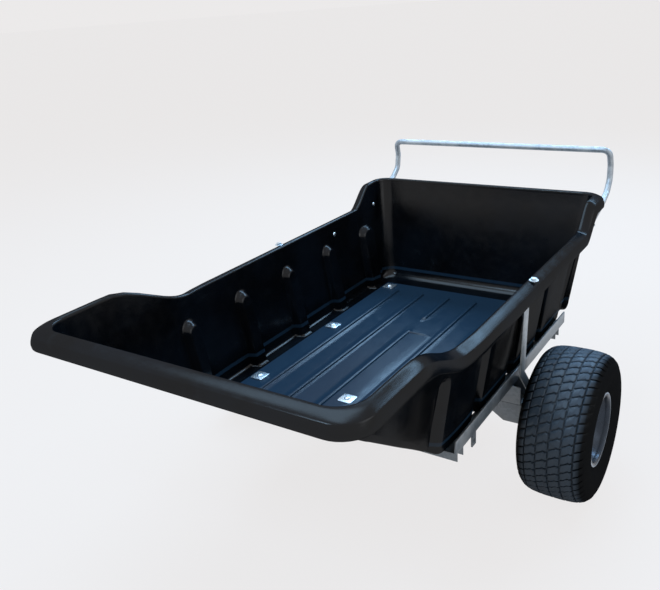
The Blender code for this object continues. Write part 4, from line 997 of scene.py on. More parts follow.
    def section(self, station: Station) -> list[Vector]:
        """The section of fillet, wall, rim and skirt at one station, from the gutter upwards."""
        across = Vector((station.outer.x - station.inner.x, station.outer.y - station.inner.y, 0))
        outward = station.facing
        height = station.inner.z - station.foot.z
        on_side = abs(outward.y) < 0.5

        def wall_point(share: float) -> Vector:
            point = station.foot.lerp(station.inner, share)
            return point - outward * (self.pillar_bulge(station.foot.y, point.z) if on_side else 0)

        corner = wall_point(0)
        fillet = min(station.fillet, height * 0.3)
        start_share = fillet / (station.inner - station.foot).length
        along_base = Vector((outward.x, outward.y, -self.slope(station.foot.y) * outward.y)).normalized()
        entry, leave = corner - along_base * fillet, wall_point(start_share)
        points = []
        for step in range(self.fillet_steps):
            t = step / self.fillet_steps
            points.append(entry.lerp(corner, t).lerp(corner.lerp(leave, t), t))

        dome_start, dome_end = [(level - station.foot.z) / height for level in self.pillar_turn]
        low = min(max(dome_start, start_share + 0.04), 0.70)
        high = min(max(dome_end, low + 0.12), 0.90)
        shares = []
        for begin, end, steps in zip((start_share, low, high), (low, high, 1), self.wall_steps):
            shares += [begin + (end - begin) * step / steps for step in range(steps)]
        points += [wall_point(share) for share in shares]

        crown = station.inner.z + self.edge_drop
        rim = [station.inner.copy()]
        for share, drop in (*self.rim_form, (self.skirt_tuck, self.skirt)):
            point = station.inner + across * share
            point.z = crown - drop
            rim.append(point)
        return points + smooth_chain([wall_point(1)] + rim[1:], self.rim_steps)

    def shell(self) -> bmesh.types.BMesh:
        """The tub's inner face, both halves, as one sheet."""
        columns, stations = self.columns(), self.stations()
        sections = [self.section(station) for station in stations]
        rear = [self.section(stations[0].narrowed(x)) for x in columns]
        front = [self.section(stations[-1].narrowed(x)) for x in columns]

        def floor_point(column: int, row: int) -> Vector:
            last = sections[row][0]
            if column == len(columns):
                return last
            x = columns[column]
            if row in (0, len(sections) - 1):
                ends = rear if row == 0 else front
                return ends[column][0]
            return Vector((x, last.y, self.floor(x, last.y)))

        floor = formed_grid(len(columns) + 1, len(sections), floor_point)
        loop = rear + sections + front[::-1]
        walls = formed_grid(len(loop[0]), len(loop), lambda level, place: loop[place][level])
        join_into(floor, walls, Matrix())
        bmesh.ops.remove_doubles(floor, verts=floor.verts, dist=0.00001)
        bmesh.ops.mirror(floor, geom=floor.verts[:] + floor.edges[:] + floor.faces[:], axis="X",
                         merge_dist=0.00001)
        bmesh.ops.recalc_face_normals(floor, faces=floor.faces)
        middle = min(floor.faces, key=lambda face: face.calc_center_median().length)
        if middle.normal.z < 0:
            bmesh.ops.reverse_faces(floor, faces=floor.faces)
        rear_end, front_end = self.panel_ends
        for vert in floor.verts:
            if abs(vert.co.x) < self.panel_half and rear_end < vert.co.y < front_end:
                vert.co.z = max(vert.co.z, self.extra_bead(vert.co.x, vert.co.y))
        bmesh.ops.translate(floor, verts=floor.verts, vec=(0, 0, self.floor_level))
        return floor

    def build(self) -> None:
        """Builds the tub and gives its wall its thickness."""
        piece = self.shop.finish("tub_shell", self.shell(), "black_polyethylene", ["tub"], sharp=48)
        wall = piece.modifiers.new("wall", "SOLIDIFY")
        wall.thickness = self.wall
        wall.offset = -1
        wall.use_even_offset = True


# Wheels


@dataclass
class Wheel:
    """One wheel: turf tyre with moulded blocks, pressed rim, hub with its bolts, grease cap and valve.

    Along is the distance outwards from the wheel's middle plane.
    """

    shop: Workshop
    side: Side
    axle_z: float = 0.226
    track_half: float = 0.583
    tyre_radius: float = 0.226
    tyre_half: float = 0.1025
    groove: float = 0.0055
    block_root: float = 0.0012
    rows: int = 51
    columns: int = 4
    column_pitch: float = 0.0342
    column_shift: float = 0.63
    block_half: Point2 = (0.0156, 0.0118)
    block_slant: tuple[float, ...] = (-0.0062, -0.0040, -0.0014, 0.0014, 0.0046, 0.0024, 0.0062)
    block_bevel: float = 0.0022
    block_end: float = 0.88
    lug_span: Point2 = (0.0700, 0.1420)
    lug_lean: float = 0.34
    lug_width: float = 0.96
    lug_taper: float = 0.26
    lug_tip: float = 0.15
    lug_shift: float = 0.35
    rim_half: float = 0.089
    rim_flange: float = 0.1125
    bead_radius: float = 0.1015
    well_radius: float = 0.088
    sheet: float = 0.0035
    hub_half: float = 0.045
    hub_barrel: float = 0.032
    hub_flange: float = 0.065
    hub_face: float = 0.0117
    hub_flange_thick: float = 0.009
    disc_thick: float = 0.004
    bolt_circle: float = 0.050
    bolt_radius: float = 0.006
    bolt_head: Point2 = (0.0100, 0.008)
    bolts: int = 4
    bearing_seat: float = 0.026
    bearing_depth: float = 0.015
    hub_bore: float = 0.016
    chamfer: float = 0.001
    gap: float = 0.0003
    tyre_steps: int = 116
    rim_steps: int = 96
    hub_steps: int = 64

    @property
    def centre(self) -> Vector:
        """The middle of the wheel."""
        return Vector((self.side.value * self.track_half, 0, self.axle_z))

    @property
    def body(self) -> str:
        """The body that the wheel turns with."""
        return f"wheel_{self.side.label}"

    def outward(self) -> Matrix:
        """A place at the wheel's middle with +Z outwards along the axle."""
        return aim(self.centre, self.centre + Vector((self.side.value, 0, 0)))

    @cached_property
    def tread_section(self) -> list[Vector]:
        """Half the tyre's outer section, from the tread's middle to the bead, as (along, radius)."""
        top = self.tyre_radius
        return smooth_chain([Vector(point) for point in (
            (0, top), (0.038, top - 0.0010), (0.070, top - 0.0058), (0.0885, top - 0.0162),
            (0.0980, top - 0.0310), (self.tyre_half - 0.0003, 0.170), (0.0985, 0.140), (0.0890, 0.1185),
            (0.0860, 0.1085))], 6)

    def on_tyre(self, reach: float, turn: float, height: float) -> Vector:
        """A point on or in the tyre.

        Args:
            reach: The distance over the outer section from the tread's middle, negative on the inner side.
            turn: The angle round the axle, in radians.
            height: How far the point stands out of the tread's surface.

        Returns:
            The point.
        """
        left = abs(reach)
        for start, end in zip(self.tread_section, self.tread_section[1:]):
            step = end - start
            if left <= step.length:
                break
            left -= step.length
        point = start + step.normalized() * left
        along, radius = point + Vector((-step.y, step.x)).normalized() * height
        along = math.copysign(along, reach) if reach else along
        return self.centre + Vector((self.side.value * along, radius * math.sin(turn),
                                     radius * math.cos(turn)))

    def block(self, outline: Callable[[float, float], Point2], cells: int, tip: float) -> bpy.types.Mesh:
        """The form of one moulded block, laid flat with its top at 0.

        Args:
            outline: Gives the place of a corner from its share across and along the block, from -1 to 1.
            cells: How many faces the block has across.
            tip: The height of its far end, as a share of the groove's depth.

        Returns:
            The block's mesh.
        """
        bm = formed_grid(cells + 1, 2, lambda column, row: Vector(
            (*outline(2 * column / cells - 1, 2 * row - 1), 0)))
        top = list(bm.faces)
        edges = [edge for edge in bm.edges if edge.is_boundary]
        walls = bmesh.ops.extrude_edge_only(bm, edges=edges)["geom"]
        for vert in walls:
            if isinstance(vert, bmesh.types.BMVert):
                vert.co.z = -1
        rim = [edge for edge in bm.edges if len(edge.link_faces) == 2
               and len([face for face in edge.link_faces if face in top]) == 1]
        round_edges(bm, rim, self.block_bevel, 1)
        lowest_reach = min(vert.co.x for vert in bm.verts)
        span = max(vert.co.x for vert in bm.verts) - lowest_reach
        for vert in bm.verts:
            share = 1 + (tip - 1) * ease(vert.co.x, lowest_reach + span * 0.35, lowest_reach + span)
            if vert.co.z < -0.5:
                vert.co.z = -self.groove - self.block_root
            else:
                vert.co.z = max(vert.co.z, -0.8) - self.groove * (1 - share)
        bmesh.ops.recalc_face_normals(bm, faces=bm.faces)
        if max(bm.faces, key=lambda face: face.calc_center_median().z).normal.z < 0:
            bmesh.ops.reverse_faces(bm, faces=bm.faces)
        mesh = bpy.data.meshes.new("block")
        bm.to_mesh(mesh)
        bm.free()
        return mesh

    def add_block(self, tread: bmesh.types.BMesh, block: bpy.types.Mesh, reach: float, turn: float,
                  flip: bool) -> None:
        """Bends a block onto the tyre.

        Args:
            tread: The blocks so far.
            block: The block's mesh.
            reach: Where its middle goes over the section.
            turn: Where it goes round the tyre.
            flip: Whether it is turned to run over the inner shoulder.
        """
        start = len(tread.verts)
        tread.from_mesh(block)
        tread.verts.ensure_lookup_table()
        sign = -1 if flip else 1
        for vert in tread.verts[start:]:
            x, y, z = vert.co
            vert.co = self.on_tyre(reach + sign * x, turn + sign * y / self.tyre_radius, z)

    def build_tyre(self) -> None:
        """The tyre: its carcass, and the interlocking blocks and shoulder lugs that stand on it."""
        outer = []
        for along, radius in self.tread_section:
            drop = self.groove * (1 - ease(along, 0.0900, 0.1010))
            outer.append((radius - drop, along))
        inner = [(0.1020, 0.0838), (0.1020, 0.0720), (0.1250, 0.0740), (0.1700, 0.0895), (0.2000, 0.0800),
                 (0.2090, 0.0500)]
        half = outer[::-1]
        profile = [(radius, -along) for radius, along in half[:-1]] + outer
        profile += inner + [(radius, -along) for radius, along in reversed(inner)]
        bm = spun(profile, self.centre, self.side.value, self.tyre_steps, True)

        half_width, half_length = self.block_half
        cells = len(self.block_slant) - 1

        def stepped(u: float, v: float) -> Point2:
            shift = self.block_slant[round((u + 1) / 2 * cells)]
            round_off = self.block_end if abs(u) > 0.99 else 1.0
            return (half_width * u, half_length * v * round_off + shift)

        first, last = self.lug_span
        lug_half = (last - first) / 2

        def lug(u: float, v: float) -> Point2:
            width = half_length * (self.lug_width - self.lug_taper * ease(u, -0.4, 1))
            return (lug_half * u, width * v + self.lug_lean * lug_half * u)

        blocks = self.block(stepped, cells, 1.0)
        lugs = self.block(lug, 5, self.lug_tip)
        middle = self.column_pitch * (self.columns - 1) / 2
        tread = bmesh.new()
        for row in range(self.rows):
            for column in range(self.columns):
                turn = 2 * math.pi * (row + self.column_shift * column) / self.rows
                self.add_block(tread, blocks, column * self.column_pitch - middle, turn, False)
            for flip in (False, True):
                shift = self.column_shift * (-1 - self.lug_shift if flip else self.columns + self.lug_shift)
                turn = 2 * math.pi * (row + shift) / self.rows
                reach = (first + last) / 2
                self.add_block(tread, lugs, -reach if flip else reach, turn, flip)
        join_into(bm, tread, Matrix())
        for mesh in (blocks, lugs):
            bpy.data.meshes.remove(mesh)
        label = self.side.label
        self.shop.finish(f"tyre_{label}_moulded", bm, "tyre_rubber", [f"tyre_{label}"], sharp=38)

    def build_rim(self) -> None:
        """The pressed rim: rolled flanges, bead seats, safety humps and well, and the dished disc."""
        edge, sheet, seat, well = self.rim_half, self.sheet, self.bead_radius, self.well_radius
        half = [(self.rim_flange - 0.0022, edge - 0.0004), (self.rim_flange, edge - 0.0016),
                (self.rim_flange - 0.0004, edge - sheet + 0.0002), (self.rim_flange - 0.004, edge - sheet),
                (seat + 0.004, edge - sheet), (seat, edge - sheet - 0.004), (seat - 0.0005, 0.0745),
                (seat + 0.0004, 0.0725), (seat - 0.0008, 0.0700), (well + 0.002, 0.0535), (well, 0.0510)]
        inner = [(well - sheet, 0.0525), (well - sheet + 0.002, 0.0552), (seat - sheet - 0.001, 0.0725),
                 (seat - sheet, 0.0765), (seat - sheet + 0.0005, edge - 0.004),
                 (seat - sheet + 0.003, edge - 0.0010), (seat + 0.002, edge)]
        profile = half + [(radius, -along) for radius, along in reversed(half)]
        profile += [(radius, -along) for radius, along in reversed(inner)]
        start, front = self.hub_face + self.gap, self.hub_face + self.gap + self.disc_thick
        hole = self.hub_barrel + 0.001
        lip = well - sheet
        profile += [(lip, start + 0.006), (lip - 0.004, start + 0.0015), (lip - 0.009, start),
                    (hole, start), (hole, front), (lip - 0.012, front), (lip - 0.007, front + 0.0022),
                    (lip, front + 0.009)]
        profile += inner
        bm = spun(profile, self.centre, self.side.value, self.rim_steps, True)
        label = self.side.label
        self.shop.finish(f"rim_{label}_pressed", bm, "rim_silver", [f"rim_{label}"], sharp=50)

    def build_hub(self) -> None:
        """The turned hub, with its chamfered flange, bearing seats and wheel bolts."""
        half, barrel, flange, face = self.hub_half, self.hub_barrel, self.hub_flange, self.hub_face
        seat, bore, soft = self.bearing_seat, self.hub_bore, self.chamfer
        back, deep = face - self.hub_flange_thick, half - self.bearing_depth
        outside = [(barrel - soft, half), (barrel, half - soft), (barrel, face), (flange - soft, face),
                   (flange, face - soft), (flange, back + soft), (flange - soft, back),
                   (barrel + 0.006, back), (barrel, back - 0.006), (barrel, soft - half),
                   (barrel - soft, -half)]
        inside = [(seat, -half), (seat, -deep), (bore, -deep), (bore, deep), (seat, deep), (seat, half)]
        bm = spun(outside + inside, self.centre, self.side.value, self.hub_steps, True)
        disc_front = face + 2 * self.gap + self.disc_thick
        shank, tail = self.bolt_radius, back - 0.004
        head_radius, head_height = self.bolt_head
        collar, shoulder = head_radius * 1.04, disc_front + 0.002
        for number in range(self.bolts):
            turn = Matrix.Rotation(2 * math.pi * (number + 0.5) / self.bolts, 4, "Z")
            place = self.outward() @ turn @ Matrix.Translation((self.bolt_circle, 0, 0))
            add_turned(bm, [(0, disc_front + 0.0005), (shank, disc_front), (shank, back - 0.003),
                            (shank - soft, tail), (0, tail)], place, 20)
            add_turned(bm, [(0, disc_front), (collar, disc_front), (collar, disc_front + 0.001),
                            (head_radius * 0.86, shoulder), (0, shoulder)], place, 28)
            add_hexagon(bm, place @ Matrix.Translation((0, 0, shoulder)), head_radius * 0.94,
                        head_height - 0.002)
        label = self.side.label
        self.shop.finish(f"hub_{label}_turned", bm, "zinc_plated", [f"hub_{label}"], sharp=35)

    def build_cap(self) -> None:
        """The pressed grease cap, with a rolled edge and a soft crown."""
        foot, outer = self.hub_half + self.gap, self.hub_barrel - 0.001
        profile = [(0, foot + 0.0253), (0.010, foot + 0.0249), (0.0185, foot + 0.0232),
                   (0.0248, foot + 0.0200), (0.0280, foot + 0.0150), (0.0288, foot + 0.0062),
                   (0.0292, foot + 0.0036),
                   (outer - 0.0003, foot + 0.0024), (outer, foot + 0.0012), (outer - 0.0006, foot),
                   (outer - 0.0034, foot), (outer - 0.0045, foot + 0.0140), (0.0180, foot + 0.0200),
                   (0, foot + 0.0215)]
        bm = bmesh.new()
        add_turned(bm, profile, self.outward(), 56)
        label = self.side.label
        self.shop.finish(f"hub_cap_{label}_pressed", bm, "zinc_plated", [f"hub_cap_{label}"], sharp=50)

    def build_valve(self) -> None:
        """The rubber valve that stands out of the rim's well, with its screwed cap."""
        root = Vector((0, self.well_radius - self.sheet + 0.002, 0.030))
        lean = Vector((0, -0.34, 0.94)).normalized()
        place = self.outward() @ Matrix.Rotation(math.radians(20), 4, "Z") @ aim(root, root + lean)
        profile = [(0, 0.040), (0.0030, 0.0398), (0.0036, 0.0388), (0.0036, 0.0285), (0.0031, 0.0275),
                   (0.0034, 0.0265), (0.0036, 0.0120), (0.0052, 0.0050), (0.0058, 0.0), (0, -0.001)]
        bm = bmesh.new()
        add_turned(bm, profile, place, 20)
        self.shop.finish(f"valve_{self.side.label}", bm, "pad_rubber", [], self.body, sharp=50)

    def build(self) -> None:
        """Builds every piece of the wheel."""
        self.build_tyre()
        self.build_rim()
        self.build_hub()
        self.build_cap()
        self.build_valve()


# Handle


@dataclass
class Handle:
    """The tipping handle: one tube bent round the front, its arms bolted outside the walls."""

    shop: Workshop
    floor_level: float = FLOOR_LEVEL
    radius: float = 0.011
    wall: float = 0.002
    arm_x: float = 0.4505
    arm: tuple[Point2, Point2] = ((0.285, 0.233), (0.605, 0.281))
    leg: tuple[tuple[float, float, float], ...] = (
        (0.4505, 0.768, 0.322), (0.449, 0.827, 0.343), (0.447, 0.868, 0.379), (0.4455, 0.875, 0.434))
    top: tuple[float, float, float] = (0.443, 0.858, 0.4926)
    bend: float = 0.040

    def path(self) -> list[Vector]:
        """The tube's middle line, from one arm's end to the other's."""
        half = [Vector((self.arm_x, y, z)) for y, z in self.arm]
        half += [Vector(point) for point in self.leg] + [Vector(self.top)]
        whole = half + [Vector((-point.x, point.y, point.z)) for point in reversed(half)]
        lift = Vector((0, 0, self.floor_level))
        return rounded_corners([point + lift for point in whole], self.bend, 9)

    def build(self) -> None:
        """Sweeps the tube along its path and gives it its wall."""
        curve = bpy.data.curves.new("handle_path", "CURVE")
        curve.dimensions = "3D"
        curve.bevel_depth = self.radius
        curve.bevel_resolution = 6
        spline = curve.splines.new("POLY")
        path = self.path()
        spline.points.add(len(path) - 1)
        for target, point in zip(spline.points, path):
            target.co = (*point, 1)
        holder = bpy.data.objects.new("handle_path", curve)
        bpy.context.scene.collection.objects.link(holder)
        mesh = bpy.data.meshes.new_from_object(holder.evaluated_get(bpy.context.evaluated_depsgraph_get()))
        bpy.data.objects.remove(holder, do_unlink=True)
        bpy.data.curves.remove(curve)
        bm = bmesh.new()
        bm.from_mesh(mesh)
        bpy.data.meshes.remove(mesh)
        bmesh.ops.remove_doubles(bm, verts=bm.verts, dist=0.00001)
        bmesh.ops.recalc_face_normals(bm, faces=bm.faces)
        piece = self.shop.finish("handle_bent", bm, "galvanised_steel", ["handle"], sharp=50)
        wall = piece.modifiers.new("tube_wall", "SOLIDIFY")
        wall.thickness = self.wall
        wall.offset = -1


# Fasteners


@dataclass
class Bolt:
    """A bolt with its washer and nut, drawn from the seat under its head along its shank.

    Heads, washers and nuts are given as (radius, height), and a spacer as (radius, start, height).
    """

    seat: Vector
    along: Vector
    radius: float
    length: float
    head: Point2
    style: Head
    washer: Point2 | None = None
    nut: Point2 | None = None
    past_nut: float = 0.003
    spacer: tuple[float, float, float] | None = None

    def add_to(self, bm: bmesh.types.BMesh) -> None:
        """Adds the whole fastener to a shape.

        Args:
            bm: The shape.
        """
        place = aim(self.seat, self.seat + self.along)
        radius, chamfer = self.radius, self.radius * 0.12
        add_turned(bm, [(0, 0), (radius, 0), (radius, self.length - chamfer),
                        (radius - chamfer, self.length), (0, self.length)], place, 20)
        head_radius, head_height = self.head
        back = place @ Matrix.Rotation(math.pi, 4, "X")
        under = 0.0
        if self.washer:
            wide, thick = self.washer
            rim = thick * 0.25
            add_turned(bm, [(0, 0), (wide - rim, 0), (wide, rim), (wide, thick - rim),
                            (wide - rim, thick), (0, thick)], back, 40)
            under = thick
        if self.style is Head.HEX:
            add_hexagon(bm, back @ Matrix.Translation((0, 0, under)), head_radius, head_height)
        else:
            dome = [(head_radius * math.sin(turn), under + head_height * math.cos(turn))
                    for turn in (math.radians(15 * step) for step in range(7))]
            add_turned(bm, [*dome, (0, under)], back, 32)
        if self.nut:
            nut_radius, nut_height = self.nut
            nut_at = self.length - self.past_nut - nut_height
            add_hexagon(bm, place @ Matrix.Translation((0, 0, nut_at)), nut_radius, nut_height)
        if self.spacer:
            wide, start, height = self.spacer
            end = start + height
            add_turned(bm, [(0, start), (wide, start), (wide, end), (0, end)], place, 28)


@dataclass
class Fasteners:
    """The clamp plates on the floor, and every bolt that shows.

    A handle bolt's spacer ends just short of the tube. It starts past the wall and has at most its full
    height.
    """

    shop: Workshop
    clamp_half: float = 0.022
    clamp_thick: float = 0.004
    clamp_corner: float = 0.0045
    clamp_edge: float = 0.0007
    clamp_head: Point2 = (0.0098, 0.005)
    frame_bolt: float = 0.004
    rim_washer: Point2 = (0.0138, 0.002)
    rim_head: Point2 = (0.0084, 0.006)
    handle_head: Point2 = (0.0088, 0.004)
    strap_head: Point2 = (0.0074, 0.004)
    spacer_radius: float = 0.0069
    spacer_height: float = 0.0105
    spacer_start: float = 0.008
    spacer_gap: float = 0.0006

    def build_clamps(self) -> None:
        """The square plates on the floor, each with its bolt and nut."""
        for number in range(1, 8):
            node = f"floor_clamp_{number}"
            low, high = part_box(node)
            middle = Vector(((low.x + high.x) / 2, (low.y + high.y) / 2 - self.shop.axle_y, 0))
            plate_top = high.z - self.clamp_head[1]
            plate = bmesh.new()
            size = Matrix.Diagonal((2 * self.clamp_half, 2 * self.clamp_half, self.clamp_thick, 1))
            bmesh.ops.create_cube(plate, size=1, matrix=size)
            corners = [edge for edge in plate.edges
                       if abs(edge.verts[0].co.z - edge.verts[1].co.z) > self.clamp_thick / 2]
            round_edges(plate, corners, self.clamp_corner, 5)
            rim = [edge for edge in plate.edges if min(vert.co.z for vert in edge.verts) > 0]
            round_edges(plate, rim, self.clamp_edge, 2)
            bm = bmesh.new()
            join_into(bm, plate, Matrix.Translation((middle.x, middle.y, plate_top - self.clamp_thick / 2)))
            Bolt(Vector((middle.x, middle.y, plate_top)), Vector((0, 0, -1)), self.frame_bolt,
                 plate_top - low.z, self.clamp_head, Head.DOME, nut=(0.0074, 0.006)).add_to(bm)
            self.shop.finish(f"{node}_pressed", bm, "zinc_plated", [node], sharp=38)

    def build_rim_bolts(self) -> None:
        """The bolts down through the rims, each on its washer."""
        for side in Side:
            node = f"rim_bolt_{side.label}"
            low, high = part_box(node)
            x = (low.x + high.x) / 2
            seat = high.z - self.rim_head[1] - self.rim_washer[1]
            bm = bmesh.new()
            Bolt(Vector((x, 0, seat)), Vector((0, 0, -1)), self.frame_bolt, seat - low.z, self.rim_head,
                 Head.HEX, washer=self.rim_washer, nut=(0.0071, 0.005)).add_to(bm)
            self.shop.finish(f"{node}_turned", bm, "zinc_plated", [node], sharp=38)

    def cross_place(self, node: str) -> tuple[float, float, float, float]:
        """Where a bolt that runs across the trailer lies.

        Args:
            node: The bolt's CAD node.

        Returns:
            Its y and z, and how far its inner and outer ends are from the trailer's middle.
        """
        low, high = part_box(node)
        inner, outer = sorted((abs(low.x), abs(high.x)))
        return (low.y + high.y) / 2 - self.shop.axle_y, (low.z + high.z) / 2, inner, outer

    def build_handle_bolt(self, side: Side, row: str) -> None:
        """A bolt from the wall's inside out through its spacer and the handle's arm.

        Args:
            side: The side of the trailer.
            row: Which of the arm's two bolts it is, as its node's name has it.
        """
        node = f"handle_bolt_{row}_{side.label}"
        y, z, inner, outer = self.cross_place(node)
        seat = inner + self.handle_head[1]
        reach = Handle.arm_x - Handle.radius - self.spacer_gap - seat
        height = min(reach - self.spacer_start, self.spacer_height)
        spacer = (self.spacer_radius, max(reach - self.spacer_height, self.spacer_start), height)
        bm = bmesh.new()
        Bolt(Vector((side.value * seat, y, z)), Vector((side.value, 0, 0)), self.frame_bolt, outer - seat,
             self.handle_head, Head.DOME, nut=(0.0069, 0.004), spacer=spacer).add_to(bm)
        self.shop.finish(f"{node}_turned", bm, "zinc_plated", [node], sharp=38)

    def build_strap_bolt(self, side: Side) -> None:
        """The bolt in through a strap's lower end."""
        node = f"strap_bolt_{side.label}"
        y, z, inner, outer = self.cross_place(node)
        seat = outer - self.strap_head[1]
        bm = bmesh.new()
        Bolt(Vector((side.value * seat, y, z)), Vector((-side.value, 0, 0)), self.frame_bolt, seat - inner,
             self.strap_head, Head.HEX, nut=(0.0074, 0.005)).add_to(bm)
        self.shop.finish(f"{node}_turned", bm, "zinc_plated", [node], sharp=38)

    def build(self) -> None:
        """Builds every fastener."""
        self.build_clamps()
        self.build_rim_bolts()
        for side in Side:
            self.build_handle_bolt(side, "rear")
            self.build_handle_bolt(side, "front")
            self.build_strap_bolt(side)


# The steel frame


@dataclass
class SteelFrame:
    """Rails, cross-members, axle, straps, drawbar, stand and hitch: rolled and folded steel.

    Each node is given with the width of the roundings on its edges.
    """

    shop: Workshop
    rounded: tuple[tuple[str, float], ...] = (
        ("rail_left", 0.0011), ("rail_right", 0.0011), ("strap_left", 0.0008), ("strap_right", 0.0008),
        ("cross_member_front", 0.0009), ("cross_member_rear", 0.0009), ("floor_bearer", 0.0012),
        ("axle_beam", 0.0011), ("axle_hanger_left", 0.0009), ("axle_hanger_right", 0.0009),
        ("stub_axle_left", 0.0010), ("stub_axle_right", 0.0010), ("drawbar", 0.0022), ("saddle", 0.0015),
        ("latch_block", 0.0012), ("latch_lug", 0.0009), ("pivot_lug_left", 0.0008),
        ("pivot_lug_right", 0.0008), ("pivot_sleeve", 0.0008), ("swivel_housing", 0.0012),
        ("hitch_fork", 0.0018), ("stand_bracket", 0.0009), ("stand_leg", 0.0014))
    zinc: tuple[tuple[str, float], ...] = (
        ("pivot_pin", 0.0008), ("stand_bolt", 0.0006), ("swivel_bolt", 0.0008), ("hitch_pin", 0.0010),
        ("spindle_nut_left", 0.0008), ("spindle_nut_right", 0.0008), ("latch_bolt", 0.0008))

    def build(self) -> None:
        """Rounds the edges of every steel node, and dresses the pad and the bearings."""
        for node, width in self.rounded:
            self.shop.softened(node, "galvanised_steel", width)
        for node, width in self.zinc:
            self.shop.softened(node, "zinc_plated", width)
        self.shop.softened("saddle_pad", "pad_rubber", 0.002)
        for side in Side:
            for place in ("inner", "outer"):
                self.shop.dress_node(f"bearing_{place}_{side.label}", "bearing_steel")


# The studio


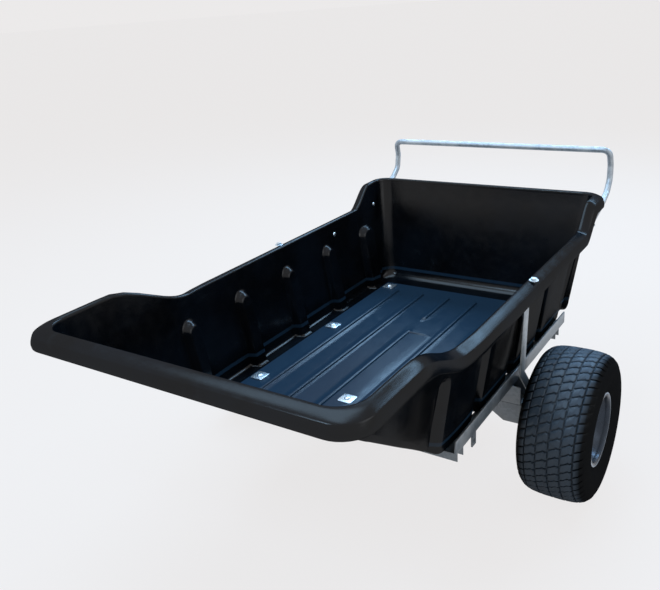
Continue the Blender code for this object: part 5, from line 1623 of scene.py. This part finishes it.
@dataclass
class Studio:
    """Pale floor and backdrop, soft lamps, and the camera where the photograph was taken.

    The floor glows only for the camera and in gloss, in the shown colour, and keeps its shadows.
    """

    backdrop: Colour = (0.836, 0.822, 0.822)
    camera_place: tuple[float, float, float] = (1.083, -1.922, 1.430)
    camera_turn: tuple[float, float, float] = (68.399, 34.837, -4.319)
    lens: float = 39.73
    sensor: float = 36.0
    sky: Colour = (1.0, 0.95, 0.88)
    sky_strength: float = 0.20
    floor_colour: Colour = (0.50, 0.47, 0.45)
    floor_shown: Colour = (1.0, 0.985, 0.988)
    floor_glow: float = 0.79
    floor_half: float = 400.0

    def seen(self, tree: bpy.types.NodeTree, share: float) -> bpy.types.NodeSocket:
        """How much of the backdrop is shown to the camera, in gloss and through glass.

        Args:
            tree: The node tree that it is added to.
            share: The amount for such rays; it is 0 for all others.

        Returns:
            The amount.
        """
        path = tree.nodes.new("ShaderNodeLightPath")
        shown = path.outputs["Is Camera Ray"]
        for other in ("Is Glossy Ray", "Is Transmission Ray"):
            either = tree.nodes.new("ShaderNodeMath")
            either.operation = "MAXIMUM"
            tree.links.new(shown, either.inputs[0])
            tree.links.new(path.outputs[other], either.inputs[1])
            shown = either.outputs[0]
        scaled = tree.nodes.new("ShaderNodeMath")
        scaled.operation = "MULTIPLY"
        tree.links.new(shown, scaled.inputs[0])
        scaled.inputs[1].default_value = share
        return scaled.outputs[0]

    def build_world(self) -> None:
        """A soft sky that lights the part, seen by the camera and in gloss as the pale backdrop."""
        world = bpy.data.worlds.new("studio")
        bpy.context.scene.world = world
        world.use_nodes = True
        tree = world.node_tree
        sky = tree.nodes["Background"]
        sky.inputs["Color"].default_value = (*self.sky, 1)
        sky.inputs["Strength"].default_value = self.sky_strength
        shown = tree.nodes.new("ShaderNodeBackground")
        shown.inputs["Color"].default_value = (*self.backdrop, 1)
        mix = tree.nodes.new("ShaderNodeMixShader")
        tree.links.new(self.seen(tree, 1), mix.inputs[0])
        tree.links.new(sky.outputs[0], mix.inputs[1])
        tree.links.new(shown.outputs[0], mix.inputs[2])
        tree.links.new(mix.outputs[0], tree.nodes["World Output"].inputs[0])

    def build_floor(self) -> None:
        """The plain floor that the wheels and the stand's foot rest on."""
        bm = bmesh.new()
        bmesh.ops.create_grid(bm, x_segments=1, y_segments=1, size=self.floor_half)
        mesh = bpy.data.meshes.new("floor")
        bm.to_mesh(mesh)
        bm.free()
        material = bpy.data.materials.new("floor_paint")
        material.use_nodes = True
        tree = material.node_tree
        shader = tree.nodes["Principled BSDF"]
        shader.inputs["Base Color"].default_value = (*self.floor_colour, 1)
        shader.inputs["Roughness"].default_value = 0.9
        shader.inputs["Specular IOR Level"].default_value = 0.1
        glow = tree.nodes.new("ShaderNodeEmission")
        glow.inputs["Color"].default_value = (*self.floor_shown, 1)
        mix = tree.nodes.new("ShaderNodeMixShader")
        tree.links.new(self.seen(tree, self.floor_glow), mix.inputs[0])
        tree.links.new(shader.outputs[0], mix.inputs[1])
        tree.links.new(glow.outputs[0], mix.inputs[2])
        tree.links.new(mix.outputs[0], tree.nodes["Material Output"].inputs[0])
        mesh.materials.append(material)
        floor = bpy.data.objects.new("floor", mesh)
        bpy.context.scene.collection.objects.link(floor)

    def add_lamp(self, name: str, place: Vector, target: Vector, size: Point2, power: float,
                 colour: Colour) -> None:
        """Adds a soft rectangular lamp.

        Args:
            name: The lamp's name.
            place: Where it hangs.
            target: What it is turned to.
            size: Its width and height.
            power: Its power in watts.
            colour: The colour of its light.
        """
        data = bpy.data.lights.new(name, "AREA")
        data.shape = "RECTANGLE"
        data.size, data.size_y = size
        data.energy = power
        data.color = colour
        lamp = bpy.data.objects.new(name, data)
        lamp.location = place
        lamp.rotation_euler = (target - place).to_track_quat("-Z", "Y").to_euler()
        bpy.context.scene.collection.objects.link(lamp)

    def build_lamps(self) -> None:
        """Soft sky light: lamps overhead and high behind, a long one in front and a weak one at the side."""
        middle = Vector((0, 0, 0.4))
        self.add_lamp("top_lamp", Vector((-1.1, 0.0, 4.4)), middle, (3.2, 3.2), 130, (0.50, 0.75, 1.0))
        self.add_lamp("rear_lamp", Vector((-0.9, -3.3, 3.6)), middle, (1.2, 0.9), 60, (0.50, 0.75, 1.0))
        self.add_lamp("front_lamp", Vector((0.2, 3.3, 3.3)), middle, (5.0, 0.8), 190, (0.38, 0.67, 1.0))
        self.add_lamp("side_lamp", Vector((3.4, -0.4, 2.2)), middle, (2.4, 2.0), 20, (0.90, 0.96, 1.0))

    def build_camera(self, axle_y: float) -> None:
        """The camera, at the place and angle that the photograph was solved for.

        Args:
            axle_y: Where the axle lies along Y in the row frame.
        """
        data = bpy.data.cameras.new("photo_camera")
        data.lens = self.lens
        data.sensor_width = self.sensor
        data.sensor_fit = "HORIZONTAL"
        data.clip_end = 1000
        camera = bpy.data.objects.new("photo_camera", data)
        tilt, turn, roll = [math.radians(angle) for angle in self.camera_turn]
        x, y, z = self.camera_place
        camera.matrix_world = (Matrix.Translation((x, y + axle_y, z)) @ Matrix.Rotation(turn, 4, "Z")
                               @ Matrix.Rotation(tilt, 4, "X") @ Matrix.Rotation(roll, 4, "Z"))
        bpy.context.scene.collection.objects.link(camera)
        bpy.context.scene.camera = camera

    def build(self, axle_y: float) -> None:
        """Builds the whole studio.

        Args:
            axle_y: Where the axle lies along Y in the row frame.
        """
        self.build_world()
        self.build_floor()
        self.build_lamps()
        self.build_camera(axle_y)
        bpy.context.scene.view_settings.view_transform = "Standard"


def main() -> None:
    """Builds the trailer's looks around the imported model."""
    logging.basicConfig(level=logging.INFO, format="%(message)s")
    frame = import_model()
    shop = Workshop(frame)
    wheels = [Wheel(shop, side) for side in Side]
    middle = wheels[0].centre + Vector((0, shop.axle_y, 0))
    shop.finishes = {
        "black_polyethylene": MouldedPlastic().material(),
        "galvanised_steel": Galvanised().material(),
        "zinc_plated": ZincPlate().material(),
        "rim_silver": WheelPaint(tuple(middle), wheels[0].rim_flange).material(),
        "tyre_rubber": TyreRubber(tuple(middle), wheels[0].tyre_radius).material(),
        "pad_rubber": PlainRubber().material(),
        "bearing_steel": GroundSteel().material(),
    }
    Studio().build(shop.axle_y)
    Tub(shop).build()
    for wheel in wheels:
        wheel.build()
    Handle(shop).build()
    Fasteners(shop).build()
    SteelFrame(shop).build()


if __name__ == "__main__":
    main()
